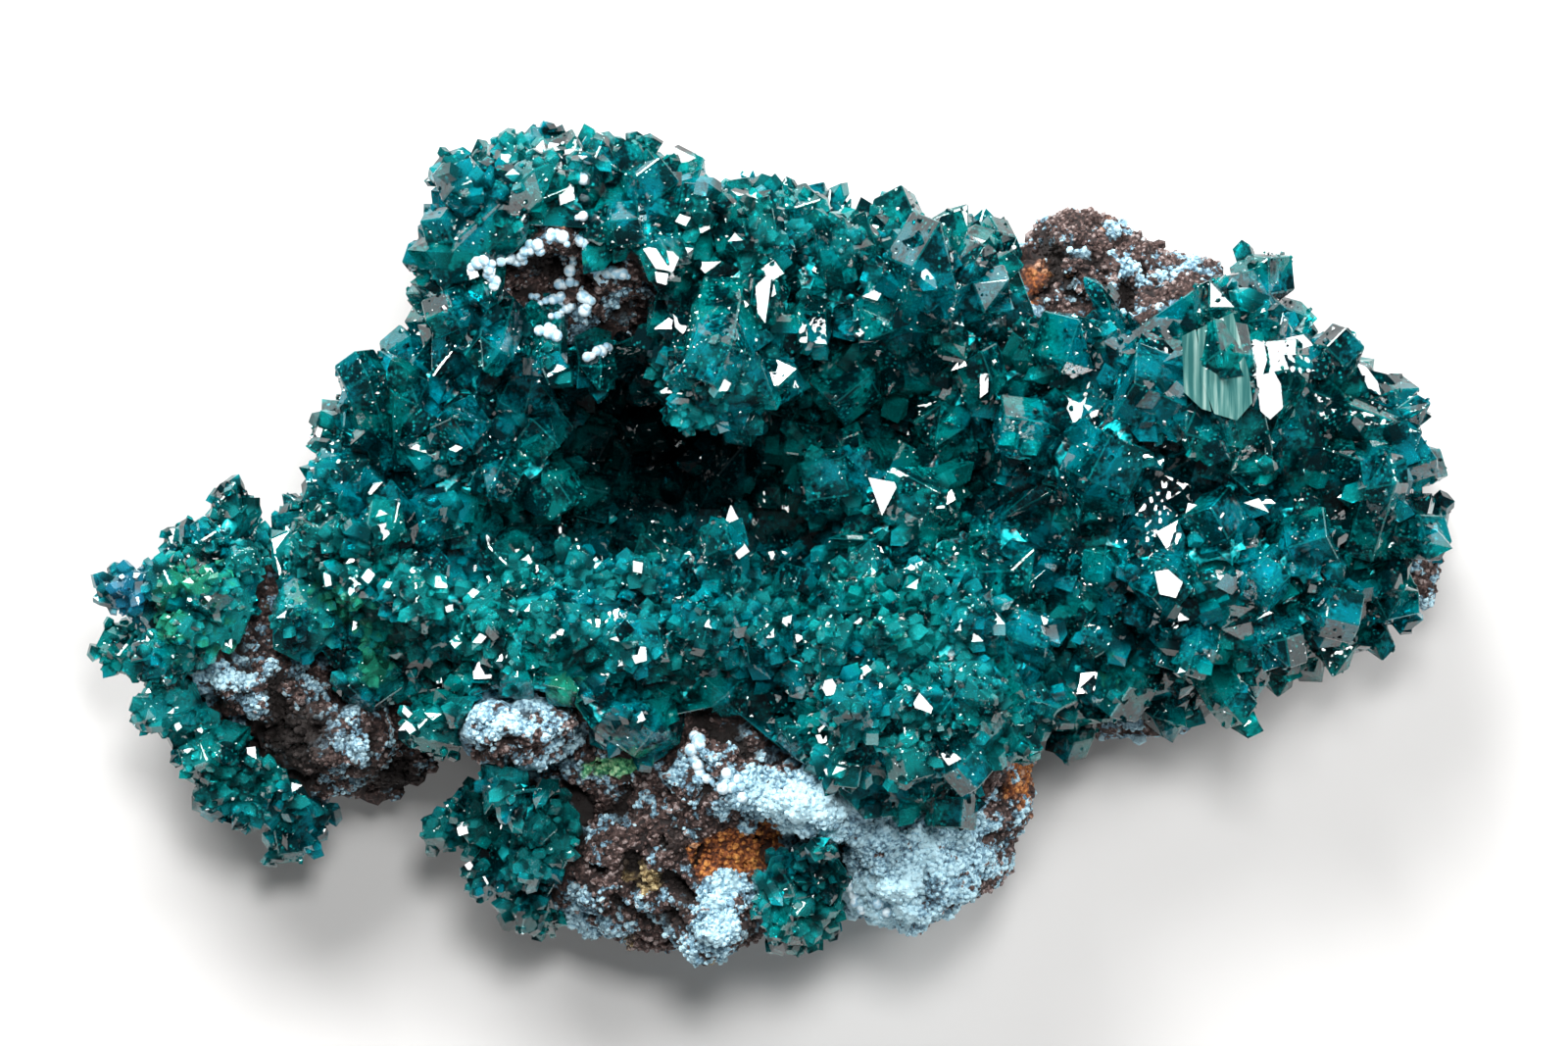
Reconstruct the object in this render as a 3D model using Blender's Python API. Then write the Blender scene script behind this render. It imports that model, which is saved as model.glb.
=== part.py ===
"""A cabinet specimen of dioptase: crusts of stout green crystals on a lump of brown gossan.

The specimen lies on the flat cut of its back. Metres, +Z up, with the origin in the middle of the base.
X runs along the specimen and Y across it, and the crystals face up.
"""

import math
import random

import bmesh
import bpy
from mathutils import Matrix, Vector
from mathutils.bvhtree import BVHTree

MM = 0.001

# Driving dimensions, in millimetres
GAP = 0.34  # between the rock and the crusts
CRUST_SKIN = 1.7  # how far a crust stands out of the rock under its crystals
CRUST_LOW = 7.0  # the back of the lump below this height is bare rock
ROCK_VOXEL = 0.95
SKIN_VOXEL = 1.1
LUMP_DEPTH = 1.5
LUMP_SIZE = 5.0
ROOT_DEPTH = 2.0  # the hidden foot of a crystal
RIM_HEIGHT = 9.0  # where a crystal past the rim of the skin is rooted
SEEDED_WIDTHS = (1.9, 3.0)  # half widths of the crystals between the chosen ones
FREE_DISTANCE = 0.25  # a face this far off the rock may be thinned out
WELD = 0.001
ABOVE = 100.0  # higher than everything, where rays start
COLUMN_TOP = 60.0

# Shares and counts
FINE_SHARE = 0.70  # size of the crystals in the fine-grained regions
RIM_SHARE = 0.7
RIM_SLOPE = 0.45  # a skin steeper than this faces the rim
SPACING = 2.15  # of two crystals, in their mean half widths
SEEDED_LENGTHS = (1.25, 1.9)  # in half widths
SHORTEST = 1.05  # of a crystal, in heights of its tip
TILT_SHARE = 0.45
LEAST_RISE = -0.2
FLATTENING = (0.85, 1.0)
SEED_TRIES = 5000
FEW_ROWS = 6  # a crust with this few chosen crystals has no others
RHOMB_SLOPE = math.tan(math.radians(51))  # of the tip's faces against the crystal's cross-section

# Triangles kept
ROCK_TRIANGLES = 1250
SKIN_TRIANGLES = 560

# Plain finishes
ROCK_COLOUR = (0.20, 0.13, 0.10)
ROCK_ROUGHNESS = 0.85
GEM_COLOUR = (0.0, 0.28, 0.26)
GEM_ROUGHNESS = 0.12
GEM_CLEARNESS = 0.6

# The rock is built of rounded lobes: the x, y, z of a middle and the three half sizes
BACK_LOBES = {
    "arm": (-38.2, -7.6, 8, 6.0, 7.2, 8),
    "arm_foot": (-33.6, -13.0, 7, 7.2, 5.2, 7.5),
    "arm_fin": (-36.0, -15.8, 6, 2.6, 2.4, 5),
    "arm_spur": (-39.0, 1.2, 12.5, 1.4, 2.2, 3.2),
    "arm_tip": (-43.0, -3.0, 11, 2.2, 1.4, 4),
    "under_left": (-29.5, -13.0, 5, 5.5, 5.4, 5.5),
    "left_middle": (-26.2, -2.4, 9, 7.4, 7.4, 9.5),
    "left_flank": (-24.6, 5.6, 10, 5.4, 5.8, 9),
    "back_left": (-16.0, 4.0, 5, 13, 13, 6.5),
    "head_back": (-15.2, 19.0, 13, 8.2, 6.4, 12),
    "upper_middle": (-1.6, 17.4, 12, 11, 5.4, 10),
    "upper_right": (10.2, 15.6, 11, 8.5, 5.2, 10),
    "plate_tip": (20.6, 20.1, 10, 5.0, 4.2, 6.5),
    "plate": (26.6, 16.2, 9, 7.8, 5.4, 7),
    "right": (33.2, 6.4, 10, 9.8, 7.8, 9.5),
    "right_low": (34.5, -0.2, 8.5, 9.6, 6.8, 8.5),
    "right_rim": (43.2, -1.8, 7, 4.2, 3.2, 5.5),
    "centre_right": (22, 2.9, 9, 13, 11, 10.5),
    "lower_right": (23.5, -5.6, 8.5, 10.0, 5.4, 8.5),
    "under_plate": (24.4, -10.6, 4.5, 6.4, 3.2, 3.6),
    "vug_floor": (3.2, 2.9, 6, 16, 12, 7.5),
    "lower_middle": (-3, -9.7, 10, 20, 10, 10.5),
    "foot": (-7.2, -20.9, 9, 12.0, 7.6, 9.5),
    "wall": (8.8, -20.0, 9, 7.8, 6.8, 10.5),
    "foot_left": (-17.6, -19.8, 8, 4.6, 4.2, 8),
}
FRONT_LOBES = {
    "head_top": (-16.4, 22.9, 24, 6.4, 3.2, 6.2),
    "head_left": (-21.2, 21.2, 22, 2.2, 4.0, 6.2),
    "head_right": (-9.5, 21.6, 23, 4.6, 3.2, 6.5),
    "head_chin": (-20.2, 15.0, 20, 3.2, 3.0, 5.6),
    "pendant": (-4.6, 13.6, 25, 3.0, 4.8, 6.0),
    "ridge_left": (-2.6, 20.9, 21.5, 2.8, 2.8, 5.2),
    "ridge_middle": (4, 19.4, 19, 3.4, 2.4, 5),
    "ridge_right": (10.2, 18.6, 21, 3.2, 2.8, 5),
    "shoulder": (20, 9.4, 15.5, 7.5, 5.6, 6.6),
    "right_dome": (31, 9.8, 16.5, 6.6, 4.6, 6.4),
    "right_low_dome": (29.7, -2.4, 15.5, 8.4, 5.2, 6.6),
    "right_edge": (40.2, 5.4, 12.5, 3.2, 4.6, 6.6),
    "band": (-11.4, -5.5, 17.5, 13.5, 3.2, 6),
    "lobe": (8.8, -10.2, 21.5, 6.8, 6.8, 7.8),
    "lobe_top": (10.9, -3.6, 17.5, 5.6, 3.8, 5.8),
    "pale_knob": (-19, -12.6, 21, 4.2, 3.2, 5.6),
    "pale_shelf": (2.0, -17.6, 22, 4.6, 2.7, 4.8),
    "pale_beads": (-5.6, -15.8, 18.5, 3.8, 3.8, 5),
    "wall_top": (9.2, -22.0, 16.5, 5.2, 5.0, 6),
    "rim_band": (14.6, -16.4, 15.0, 3.0, 4.4, 6),
    "foot_knob": (-5.2, -25.5, 14, 3.0, 3.8, 6),
    "arm_knob": (-41.2, -4.4, 14.5, 3.4, 4.0, 5),
    "arm_stone": (-38.0, -9.6, 14.5, 4.2, 2.4, 4.2),
    "arm_stone_low": (-31.5, -13.4, 13.5, 3.6, 3.0, 4.4),
    "flank_peak": (-28.0, 9.4, 15.5, 2.2, 3.4, 4.2),
    "flank": (-21, 7.0, 14.5, 5.6, 5.2, 6),
    "left_band": (-27.4, -0.8, 16.5, 6.2, 3.2, 5),
    "vug_island": (6.7, 4.0, 12.5, 4.6, 3.8, 4.8),
}
HOLLOWS = {
    "vug": (-9.6, 6.0, 22, 6.0, 6.6, 13.5),
    "vug_right": (1.4, 8.6, 23, 7, 3.6, 9.5),
    "head_hollow": (-16.0, 18.4, 31, 4.4, 3.0, 8.5),
    "cleft": (14.0, 0.4, 23, 2.0, 2.6, 8),
    "gap_left": (-25.6, -14.6, 21, 2.2, 2.6, 11),
    "arm_gap": (-36.2, -1.4, 21, 1.1, 2.4, 7),
    "gap_under_lobe": (-0.6, -12.2, 27, 1.5, 2.8, 8),
    "foot_pit": (-11.6, -23.6, 21, 2.0, 1.2, 6),
    "right_recess": (24.6, -13.0, 11, 6.0, 2.0, 3.2),
}

# Where each crust covers the rock, seen from above, and how low it reaches
MAIN_OUTLINE = [
    (-36.0, -2.4), (-35.2, 2.2), (-35.5, 9.5), (-33.5, 16.0), (-26.4, 15.0), (-29.0, 24.0),
    (-24.0, 31.0), (-8.0, 31.0), (8.0, 27.0), (15.6, 24.0), (16.2, 20.2), (17.4, 16.6), (19.4, 14.8),
    (21.6, 17.0), (23.4, 15.2), (26.4, 16.8), (29.6, 19.0), (33.2, 20.0), (48.0, 14.0), (50.0, 1.4),
    (43.6, -0.6), (41.8, -6.0), (42.0, -9.5), (36.0, -13.5), (26.0, -11.6), (22.0, -12.4),
    (18.4, -12.4), (16.6, -12.6), (13.6, -15.4), (11.4, -18.2), (5.4, -18.8), (2.0, -15.2),
    (-0.6, -13.8), (-4.2, -10.8), (-8.0, -11.6), (-13.2, -13.2), (-15.8, -9.6), (-22.0, -9.2),
    (-24.4, -13.4), (-27.0, -10.0), (-32.0, -8.4), (-34.0, -5.4),
]
ARM_OUTLINE = [
    (-50.0, -21.5), (-50.0, 8.0), (-37.0, 8.0), (-36.9, 0.2), (-37.8, -4.6), (-38.6, -6.6), (-42.6, -7.8),
    (-43.4, -11.2), (-39.2, -13.6), (-35.4, -15.6), (-33.8, -21.5),
]
FOOT_OUTLINE = [
    (-25.4, -18.2), (-22.4, -17.0), (-16.6, -16.6), (-14.6, -18.6), (-15.2, -21.4), (-17.0, -24.6),
    (-16.0, -30.0), (-25.4, -30.0),
]
PATCH_OUTLINE = [(-1.2, -21.6), (2.8, -20.6), (4.2, -22.6), (3.2, -28.0), (-1.0, -28.0), (-2.2, -24.8)]
SEAM_OUTLINE = [
    (-37.3, 9.0), (-36.9, 9.0), (-36.6, 0.2), (-36.3, -4.6), (-36.2, -10.0), (-36.6, -10.0),
    (-36.7, -4.6), (-37.0, 0.2),
]
BARE_SPOTS = {
    "head_hollow": [
        (-20.6, 21.6), (-17.0, 22.8), (-13.0, 22.2), (-10.4, 20.4), (-8.8, 17.6), (-10.2, 15.2),
        (-12.6, 14.4), (-15.6, 14.0), (-18.2, 15.6), (-20.4, 17.2), (-21.2, 19.4),
    ],
    "head_window": [(-16.0, 26.2), (-14.0, 25.8), (-13.4, 23.8), (-14.8, 23.6), (-16.2, 24.4)],
}
FINE_REGIONS = {
    "band": (-11.0, -6.0, 18.0, 4.5),
    "lobe": (9.0, -10.0, 8.5, 9.0),
    "ridge": (2.0, 20.5, 8.0, 4.0),
    "arm": (-41.0, -6.0, 8.0, 14.0),
    "foot": (-20.0, -22.0, 6.0, 6.0),
    "plate_edge": (24.0, 18.5, 6.0, 3.5),
}
# The larger beads on the floor of the head's hollow: x, y and radius
BEADS = [
    (-19.2, 20.0, 0.7), (-18.0, 20.9, 0.8), (-16.2, 20.6, 0.7), (-14.6, 21.0, 0.9), (-13.2, 19.8, 0.8),
    (-12.2, 18.8, 0.9), (-11.2, 18.6, 0.9), (-17.2, 17.8, 0.8), (-15.2, 18.0, 0.7), (-13.4, 17.6, 0.8),
]

# Crystals picked out by eye: x and y of the middle, half width, length, and the tip's bearing and lean
MAIN_CRYSTALS = [
    (30.6, 12.6, 2.5, 8.2, 104, 66), (34.4, 12.2, 2.1, 6.6, 66, 60), (25.4, 11.2, 3.3, 7.0, 160, 22),
    (22.2, 6.0, 3.1, 7.4, 80, 34), (29.0, 8.6, 2.3, 5.6, 200, 30), (32.4, 6.0, 2.0, 5.2, 340, 26),
    (38.4, 9.6, 1.7, 8.6, 160, 72), (44.0, 9.6, 1.2, 3.6, 30, 66), (41.6, 4.4, 2.0, 6.6, 75, 52),
    (44.6, 1.0, 1.9, 5.2, 350, 64), (30.2, 17.4, 1.9, 4.6, 110, 48), (33.6, 16.2, 1.4, 3.8, 80, 52),
    (22.1, 17.6, 0.9, 4.6, 122, 70), (38.6, 14.0, 1.8, 4.6, 70, 50), (36.6, 0.6, 2.5, 5.4, 20, 26),
    (30.0, 2.2, 2.3, 5.4, 120, 20), (26.2, -2.4, 2.2, 5.4, 230, 26), (22.2, -1.2, 1.9, 4.8, 90, 24),
    (33.4, -2.2, 1.9, 4.6, 300, 24), (38.6, -4.4, 2.2, 5.0, 330, 44), (34.6, -6.8, 1.9, 4.8, 290, 40),
    (28.0, -7.2, 2.2, 5.2, 260, 36), (31.0, -10.4, 1.8, 5.0, 300, 58), (17.6, 3.8, 1.1, 5.0, 35, 62),
    (16.4, 8.6, 2.4, 5.8, 150, 30), (11.0, 8.4, 2.2, 5.2, 240, 30), (13.6, 12.6, 1.9, 4.8, 90, 34),
    (8.8, 4.0, 3.4, 7.6, 130, 40), (3.0, 4.4, 2.6, 6.6, 210, 34), (-4.4, 0.0, 1.9, 6.2, 92, 50),
    (4.4, -1.4, 2.7, 5.6, 200, 28), (0.4, 7.6, 2.1, 6.6, 330, 40), (10.2, 20.6, 3.4, 7.0, 80, 40),
    (14.0, 18.0, 2.0, 5.2, 30, 40), (4.0, 21.6, 2.4, 5.2, 95, 42), (-3.0, 22.4, 2.6, 6.2, 100, 34),
    (-4.8, 13.8, 2.6, 7.6, 262, 40), (-2.0, 17.2, 1.7, 5.4, 100, 42), (6.8, 16.4, 2.2, 5.4, 300, 28),
    (-6.8, 12.6, 1.5, 4.4, 200, 50), (1.2, 15.6, 2.0, 5.0, 250, 30), (-3.8, 6.2, 2.4, 5.4, 60, 30),
    (-22.8, 25.6, 1.8, 4.6, 130, 52),
    (-24.0, 22.6, 1.5, 3.8, 170, 60), (-25.4, 20.4, 1.3, 3.4, 190, 70), (-18.6, 24.6, 1.9, 8.4, 42, 64),
    (-20.0, 22.0, 1.8, 7.2, 40, 60), (-13.0, 27.0, 1.9, 4.4, 80, 56), (-9.8, 25.6, 2.0, 5.4, 60, 48),
    (-11.4, 22.6, 1.8, 4.8, 20, 30), (-8.6, 20.4, 1.9, 4.8, 300, 20), (-6.2, 24.0, 1.8, 4.6, 60, 46),
    (-23.6, 16.6, 1.7, 4.6, 200, 48), (-20.6, 14.0, 1.7, 4.8, 250, 44), (-16.6, 13.6, 1.3, 5.2, 270, 56),
    (-13.4, 12.4, 1.6, 3.8, 280, 44), (-29.6, 11.4, 1.8, 6.6, 105, 54), (-27.0, 10.4, 1.7, 6.0, 84, 50),
    (-31.2, 5.0, 3.0, 6.4, 150, 46), (-22.8, 8.6, 2.3, 5.2, 130, 20), (-18.4, 11.0, 2.6, 5.6, 60, 30),
    (-17.4, 8.2, 2.2, 5.4, 330, 36), (-25.2, 6.2, 1.7, 4.2, 220, 24), (-20.4, 5.0, 1.8, 4.6, 240, 30),
    (-16.2, 4.2, 2.0, 5.2, 320, 34), (-13.8, 3.8, 2.1, 4.6, 10, 34), (-24.0, 2.4, 1.9, 5.0, 190, 34),
    (-32.2, 1.2, 2.0, 5.0, 160, 48), (-28.2, 1.6, 1.9, 5.6, 60, 52), (-30.4, -2.4, 1.7, 4.2, 250, 32),
    (-26.0, -3.4, 2.3, 4.8, 280, 30), (-21.0, -5.8, 2.2, 4.6, 270, 30), (-16.4, -5.0, 2.1, 5.0, 80, 34),
    (-10.4, -1.8, 1.3, 3.4, 120, 40), (-10.6, -6.6, 2.2, 4.4, 260, 20), (-5.8, -5.2, 2.2, 5.0, 70, 30),
    (-1.2, -6.4, 2.1, 4.6, 300, 22), (3.0, -6.6, 1.6, 5.8, 88, 50), (8.2, -3.0, 1.9, 7.0, 10, 70),
    (12.6, -4.6, 2.2, 5.0, 60, 28), (9.4, -10.4, 2.3, 5.0, 130, 24), (4.4, -11.0, 2.2, 4.8, 200, 36),
    (13.0, -10.0, 2.4, 5.2, 340, 32), (8.4, -14.6, 1.9, 4.2, 270, 44), (12.4, -15.2, 1.8, 4.2, 300, 50),
    (17.0, -6.2, 2.1, 5.0, 330, 30), (18.6, -9.8, 1.7, 4.6, 290, 50), (4.0, -15.2, 1.5, 3.6, 240, 50),
]
ARM_CRYSTALS = [
    (-46.4, -2.8, 1.7, 4.6, 175, 62), (-43.6, -2.0, 1.7, 4.0, 110, 40), (-39.2, 3.4, 1.5, 3.8, 80, 52),
    (-41.2, 1.0, 1.3, 3.2, 140, 50), (-40.4, -3.0, 1.6, 3.6, 30, 20), (-44.6, -7.6, 1.6, 4.0, 190, 50),
    (-44.6, -11.4, 1.6, 4.2, 200, 60), (-41.4, -14.6, 1.6, 4.0, 220, 50), (-40.6, -17.0, 1.3, 3.8, 240, 66),
    (-38.4, -0.6, 1.2, 3.0, 40, 40), (-42.4, -5.6, 1.5, 3.4, 250, 20),
]
FOOT_CRYSTALS = [
    (-24.6, -20.0, 1.5, 3.6, 200, 50), (-21.4, -19.6, 1.5, 3.4, 100, 20), (-17.6, -19.4, 1.4, 3.2, 60, 24),
    (-21.6, -23.4, 1.5, 3.6, 230, 50), (-18.4, -22.6, 1.4, 3.2, 280, 30), (-18.6, -25.8, 1.3, 3.4, 260, 60),
    (-22.8, -18.2, 1.2, 2.8, 150, 30),
]
PATCH_CRYSTALS = [
    (1.2, -22.2, 1.5, 2.6, 90, 20), (-0.6, -23.8, 1.2, 2.2, 200, 30), (2.6, -23.6, 1.3, 2.2, 320, 35),
    (0.8, -25.0, 1.3, 2.4, 260, 45), (-0.4, -26.4, 1.0, 1.8, 250, 60), (2.2, -26.0, 1.0, 1.8, 290, 60),
]

# Each crust: its outline, its chosen crystals, the seed of the others and the triangles kept
CRUSTS = {
    "dioptase_main_druse": (MAIN_OUTLINE, MAIN_CRYSTALS, 11, 6300),
    "dioptase_arm_druse": (ARM_OUTLINE, ARM_CRYSTALS, 12, 760),
    "dioptase_foot_druse": (FOOT_OUTLINE, FOOT_CRYSTALS, 13, 330),
    "dioptase_patch": (PATCH_OUTLINE, PATCH_CRYSTALS, 14, 240),
}


def lobed_object(name, lobes):
    """One object that holds an overlapping ball for each lobe."""
    bm = bmesh.new()
    for x, y, z, rx, ry, rz in lobes:
        shape = Matrix.Diagonal((rx * MM, ry * MM, rz * MM, 1))
        place = Matrix.Translation(Vector((x, y, z)) * MM)
        bmesh.ops.create_icosphere(bm, subdivisions=3, radius=1, matrix=place @ shape)
    return linked(name, mesh_from(bm, name))


def mesh_from(bm, name):
    mesh = bpy.data.meshes.new(name)
    bm.to_mesh(mesh)
    bm.free()
    return mesh


def linked(name, mesh):
    obj = bpy.data.objects.new(name, mesh)
    bpy.context.scene.collection.objects.link(obj)
    return obj


def settled(obj):
    """The object with its modifiers made part of its mesh."""
    graph = bpy.context.evaluated_depsgraph_get()
    mesh = bpy.data.meshes.new_from_object(obj.evaluated_get(graph))
    obj.modifiers.clear()
    obj.data = mesh
    return obj


def dropped(obj):
    bpy.data.objects.remove(obj)


def tree_of(mesh):
    return BVHTree.FromPolygons([v.co for v in mesh.vertices], [p.vertices for p in mesh.polygons])


def seen_from_above(tree, x, y):
    return tree.ray_cast(Vector((x * MM, y * MM, ABOVE * MM)), Vector((0, 0, -1)))[:2]


def remeshed(obj, voxel):
    modifier = obj.modifiers.new("Even skin", "REMESH")
    modifier.mode = "VOXEL"
    modifier.voxel_size = voxel * MM


def thinned(obj, triangles, group=""):
    """Keeps about this many triangles."""
    settled(obj)
    obj.data.calc_loop_triangles()
    modifier = obj.modifiers.new("Fewer faces", "DECIMATE")
    modifier.vertex_group = group
    modifier.ratio = min(1.0, triangles / len(obj.data.loop_triangles))
    modifier.use_collapse_triangulate = True
    return settled(obj)


def combined(obj, other, operation):
    modifier = obj.modifiers.new(operation.title(), "BOOLEAN")
    modifier.operation = operation
    modifier.object = other
    return settled(obj)


def joined(obj, group):
    """Grows the objects of a collection onto this one, and drops them."""
    modifier = obj.modifiers.new("Join", "BOOLEAN")
    modifier.operation = "UNION"
    modifier.operand_type = "COLLECTION"
    modifier.collection = group
    settled(obj)
    for other in list(group.objects):
        dropped(other)


def swollen(obj, name, distance):
    """A copy whose skin stands this far out from the first one."""
    copy = linked(name, obj.data.copy())
    modifier = copy.modifiers.new("Stand out", "DISPLACE")
    modifier.strength = distance * MM
    modifier.mid_level = 0
    return settled(copy)


def roughened(obj):
    texture = bpy.data.textures.new("Lumps", "CLOUDS")
    texture.noise_scale = LUMP_SIZE * MM
    texture.noise_depth = 2
    modifier = obj.modifiers.new("Lumps", "DISPLACE")
    modifier.texture = texture
    modifier.texture_coords = "LOCAL"
    modifier.strength = LUMP_DEPTH * MM


def cut_flat(obj):
    """Saws off what lies below the ground and closes the cut."""
    bm = bmesh.new()
    bm.from_mesh(obj.data)
    parts = bm.verts[:] + bm.edges[:] + bm.faces[:]
    up = (0, 0, 1)
    cut = bmesh.ops.bisect_plane(bm, geom=parts, plane_co=(0, 0, 0), plane_no=up, clear_inner=True)
    rim = [item for item in cut["geom_cut"] if isinstance(item, bmesh.types.BMEdge)]
    bmesh.ops.triangle_fill(bm, edges=rim, use_beauty=True)
    bmesh.ops.recalc_face_normals(bm, faces=bm.faces)
    bm.to_mesh(obj.data)
    bm.free()


def make_bed():
    """The face that the crystals grow from. The rock is this shape, shrunk by the gap."""
    bed = lobed_object("bed", [*BACK_LOBES.values(), *FRONT_LOBES.values()])
    remeshed(bed, ROCK_VOXEL)
    hollows = lobed_object("hollows", HOLLOWS.values())
    remeshed(hollows, ROCK_VOXEL)
    combined(bed, settled(hollows), "DIFFERENCE")
    dropped(hollows)
    remeshed(bed, ROCK_VOXEL)
    roughened(bed)
    return thinned(bed, ROCK_TRIANGLES)


def add_beads(rock):
    tree = tree_of(rock.data)
    group = bpy.data.collections.new("beads")
    for x, y, radius in BEADS:
        place = Matrix.Translation(seen_from_above(tree, x, y)[0])
        bm = bmesh.new()
        bmesh.ops.create_icosphere(bm, subdivisions=2, radius=radius * MM, matrix=place)
        group.objects.link(bpy.data.objects.new("bead", mesh_from(bm, "bead")))
    joined(rock, group)
    count(rock)


def column(name, outline, low=CRUST_LOW):
    """A straight block over an outline."""
    bm = bmesh.new()
    face = bm.faces.new([bm.verts.new((x * MM, y * MM, low * MM)) for x, y in outline])
    top = bmesh.ops.extrude_face_region(bm, geom=[face])["geom"]
    risen = [v for v in top if isinstance(v, bmesh.types.BMVert)]
    bmesh.ops.translate(bm, verts=risen, vec=(0, 0, (COLUMN_TOP - low) * MM))
    bmesh.ops.recalc_face_normals(bm, faces=bm.faces)
    return linked(name, mesh_from(bm, name))


def crystal(foot, axis, half_width, length, spin, flatten):
    """A six-sided prism with three rhombic faces at its tip, the habit of dioptase."""
    turn = axis.to_track_quat("Z", "Y").to_matrix().to_4x4()
    shape = Matrix.Rotation(spin, 4, "Z") @ Matrix.Diagonal((1, flatten, 1, 1))
    place = Matrix.Translation(foot) @ turn @ shape
    bm = bmesh.new()
    tip = bm.verts.new(place @ Vector((0, 0, length)))
    tops, bottoms = [], []
    for i in range(6):
        a = math.radians(60 * i)
        x, y = half_width * math.cos(a), half_width * math.sin(a)
        drop = half_width * RHOMB_SLOPE / (1 + i % 2)
        tops.append(bm.verts.new(place @ Vector((x, y, length - drop))))
        bottoms.append(bm.verts.new(place @ Vector((x, y, 0))))
    for i in range(6):
        bm.faces.new((bottoms[i - 1], bottoms[i], tops[i], tops[i - 1]))
    for i in (1, 3, 5):
        bm.faces.new((tip, tops[i - 1], tops[i], tops[(i + 1) % 6]))
    bm.faces.new(bottoms[::-1])
    bmesh.ops.recalc_face_normals(bm, faces=bm.faces)
    return linked("crystal", mesh_from(bm, "crystal"))


def skin_below(tree, x, y):
    """The point of the skin under x and y, or the nearest at the rim."""
    hit = seen_from_above(tree, x, y)[0]
    if hit is None:
        hit = tree.find_nearest(Vector((x * MM, y * MM, RIM_HEIGHT * MM)))[0]
    return hit


def rooted(tree, hit, axis, half_width, length, rng):
    """A crystal that grows through this point of the skin."""
    length = max(length, half_width * RHOMB_SLOPE * SHORTEST)
    foot = hit - axis * (ROOT_DEPTH * MM)
    spin = rng.uniform(0, math.pi / 3)
    flatten = rng.uniform(*FLATTENING)
    return crystal(foot, axis, half_width * MM, (length + ROOT_DEPTH) * MM, spin, flatten)


def chosen_crystals(tree, rows, rng):
    """The crystals picked out by eye. Each row's x and y are over the middle of the crystal."""
    made = []
    for x, y, half_width, length, bearing, lean in rows:
        a, b = math.radians(bearing), math.radians(lean)
        axis = Vector((math.cos(a) * math.sin(b), math.sin(a) * math.sin(b), math.cos(b)))
        hit = skin_below(tree, x - axis.x * length / 2, y - axis.y * length / 2)
        made.append(rooted(tree, hit, axis, half_width, length, rng))
    return made


def inside(x, y, outline):
    found = False
    for (ax, ay), (bx, by) in zip(outline, outline[1:] + outline[:1]):
        if (ay > y) != (by > y) and x < ax + (bx - ax) * (y - ay) / (by - ay):
            found = not found
    return found


def fine_share(x, y):
    for cx, cy, rx, ry in FINE_REGIONS.values():
        if ((x - cx) / rx) ** 2 + ((y - cy) / ry) ** 2 < 1:
            return FINE_SHARE
    return 1.0


def seeded_crystals(skin, tree, outline, rows, rng):
    """Crystals between the chosen ones, spread over the skin with a clear space round each."""
    taken = [(skin_below(tree, x, y) / MM, half_width) for x, y, half_width, _, _, _ in rows]
    weights = [p.area for p in skin.data.polygons]
    made = []
    tries = SEED_TRIES if len(rows) > FEW_ROWS else 0
    for face in rng.choices(skin.data.polygons, weights, k=tries):
        corners = [skin.data.vertices[i].co for i in face.vertices]
        a, b = sorted((rng.random(), rng.random()))
        point = corners[0] * a + corners[1] * (b - a) + corners[2] * (1 - b)
        x, y, z = point / MM
        if z < CRUST_LOW + 1 or not inside(x, y, outline):
            continue
        if any(inside(x, y, spot) for spot in BARE_SPOTS.values()):
            continue
        share = RIM_SHARE if face.normal.z < RIM_SLOPE else fine_share(x, y)
        half_width = rng.uniform(*SEEDED_WIDTHS) * share
        if any((point / MM - other).length < SPACING * (half_width + size) / 2 for other, size in taken):
            continue
        taken.append((point / MM, half_width))
        tilt = Vector((rng.uniform(-1, 1), rng.uniform(-1, 1), rng.uniform(LEAST_RISE, 1.0)))
        axis = (face.normal + tilt * TILT_SHARE).normalized()
        made.append(rooted(tree, point, axis, half_width, half_width * rng.uniform(*SEEDED_LENGTHS), rng))
    return made


def count(obj):
    obj.data.calc_loop_triangles()
    print(obj.name, len(obj.data.loop_triangles), "triangles")


def largest_body(obj):
    """Drops chips that a cut left loose."""
    bm = bmesh.new()
    bm.from_mesh(obj.data)
    unseen, bodies = set(bm.verts), []
    while unseen:
        stack, body = [unseen.pop()], []
        while stack:
            vert = stack.pop()
            body.append(vert)
            for edge in vert.link_edges:
                other = edge.other_vert(vert)
                if other in unseen:
                    unseen.remove(other)
                    stack.append(other)
        bodies.append(body)
    bodies.sort(key=len)
    bmesh.ops.delete(bm, geom=[v for body in bodies[:-1] for v in body], context="VERTS")
    bm.to_mesh(obj.data)
    bm.free()


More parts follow.
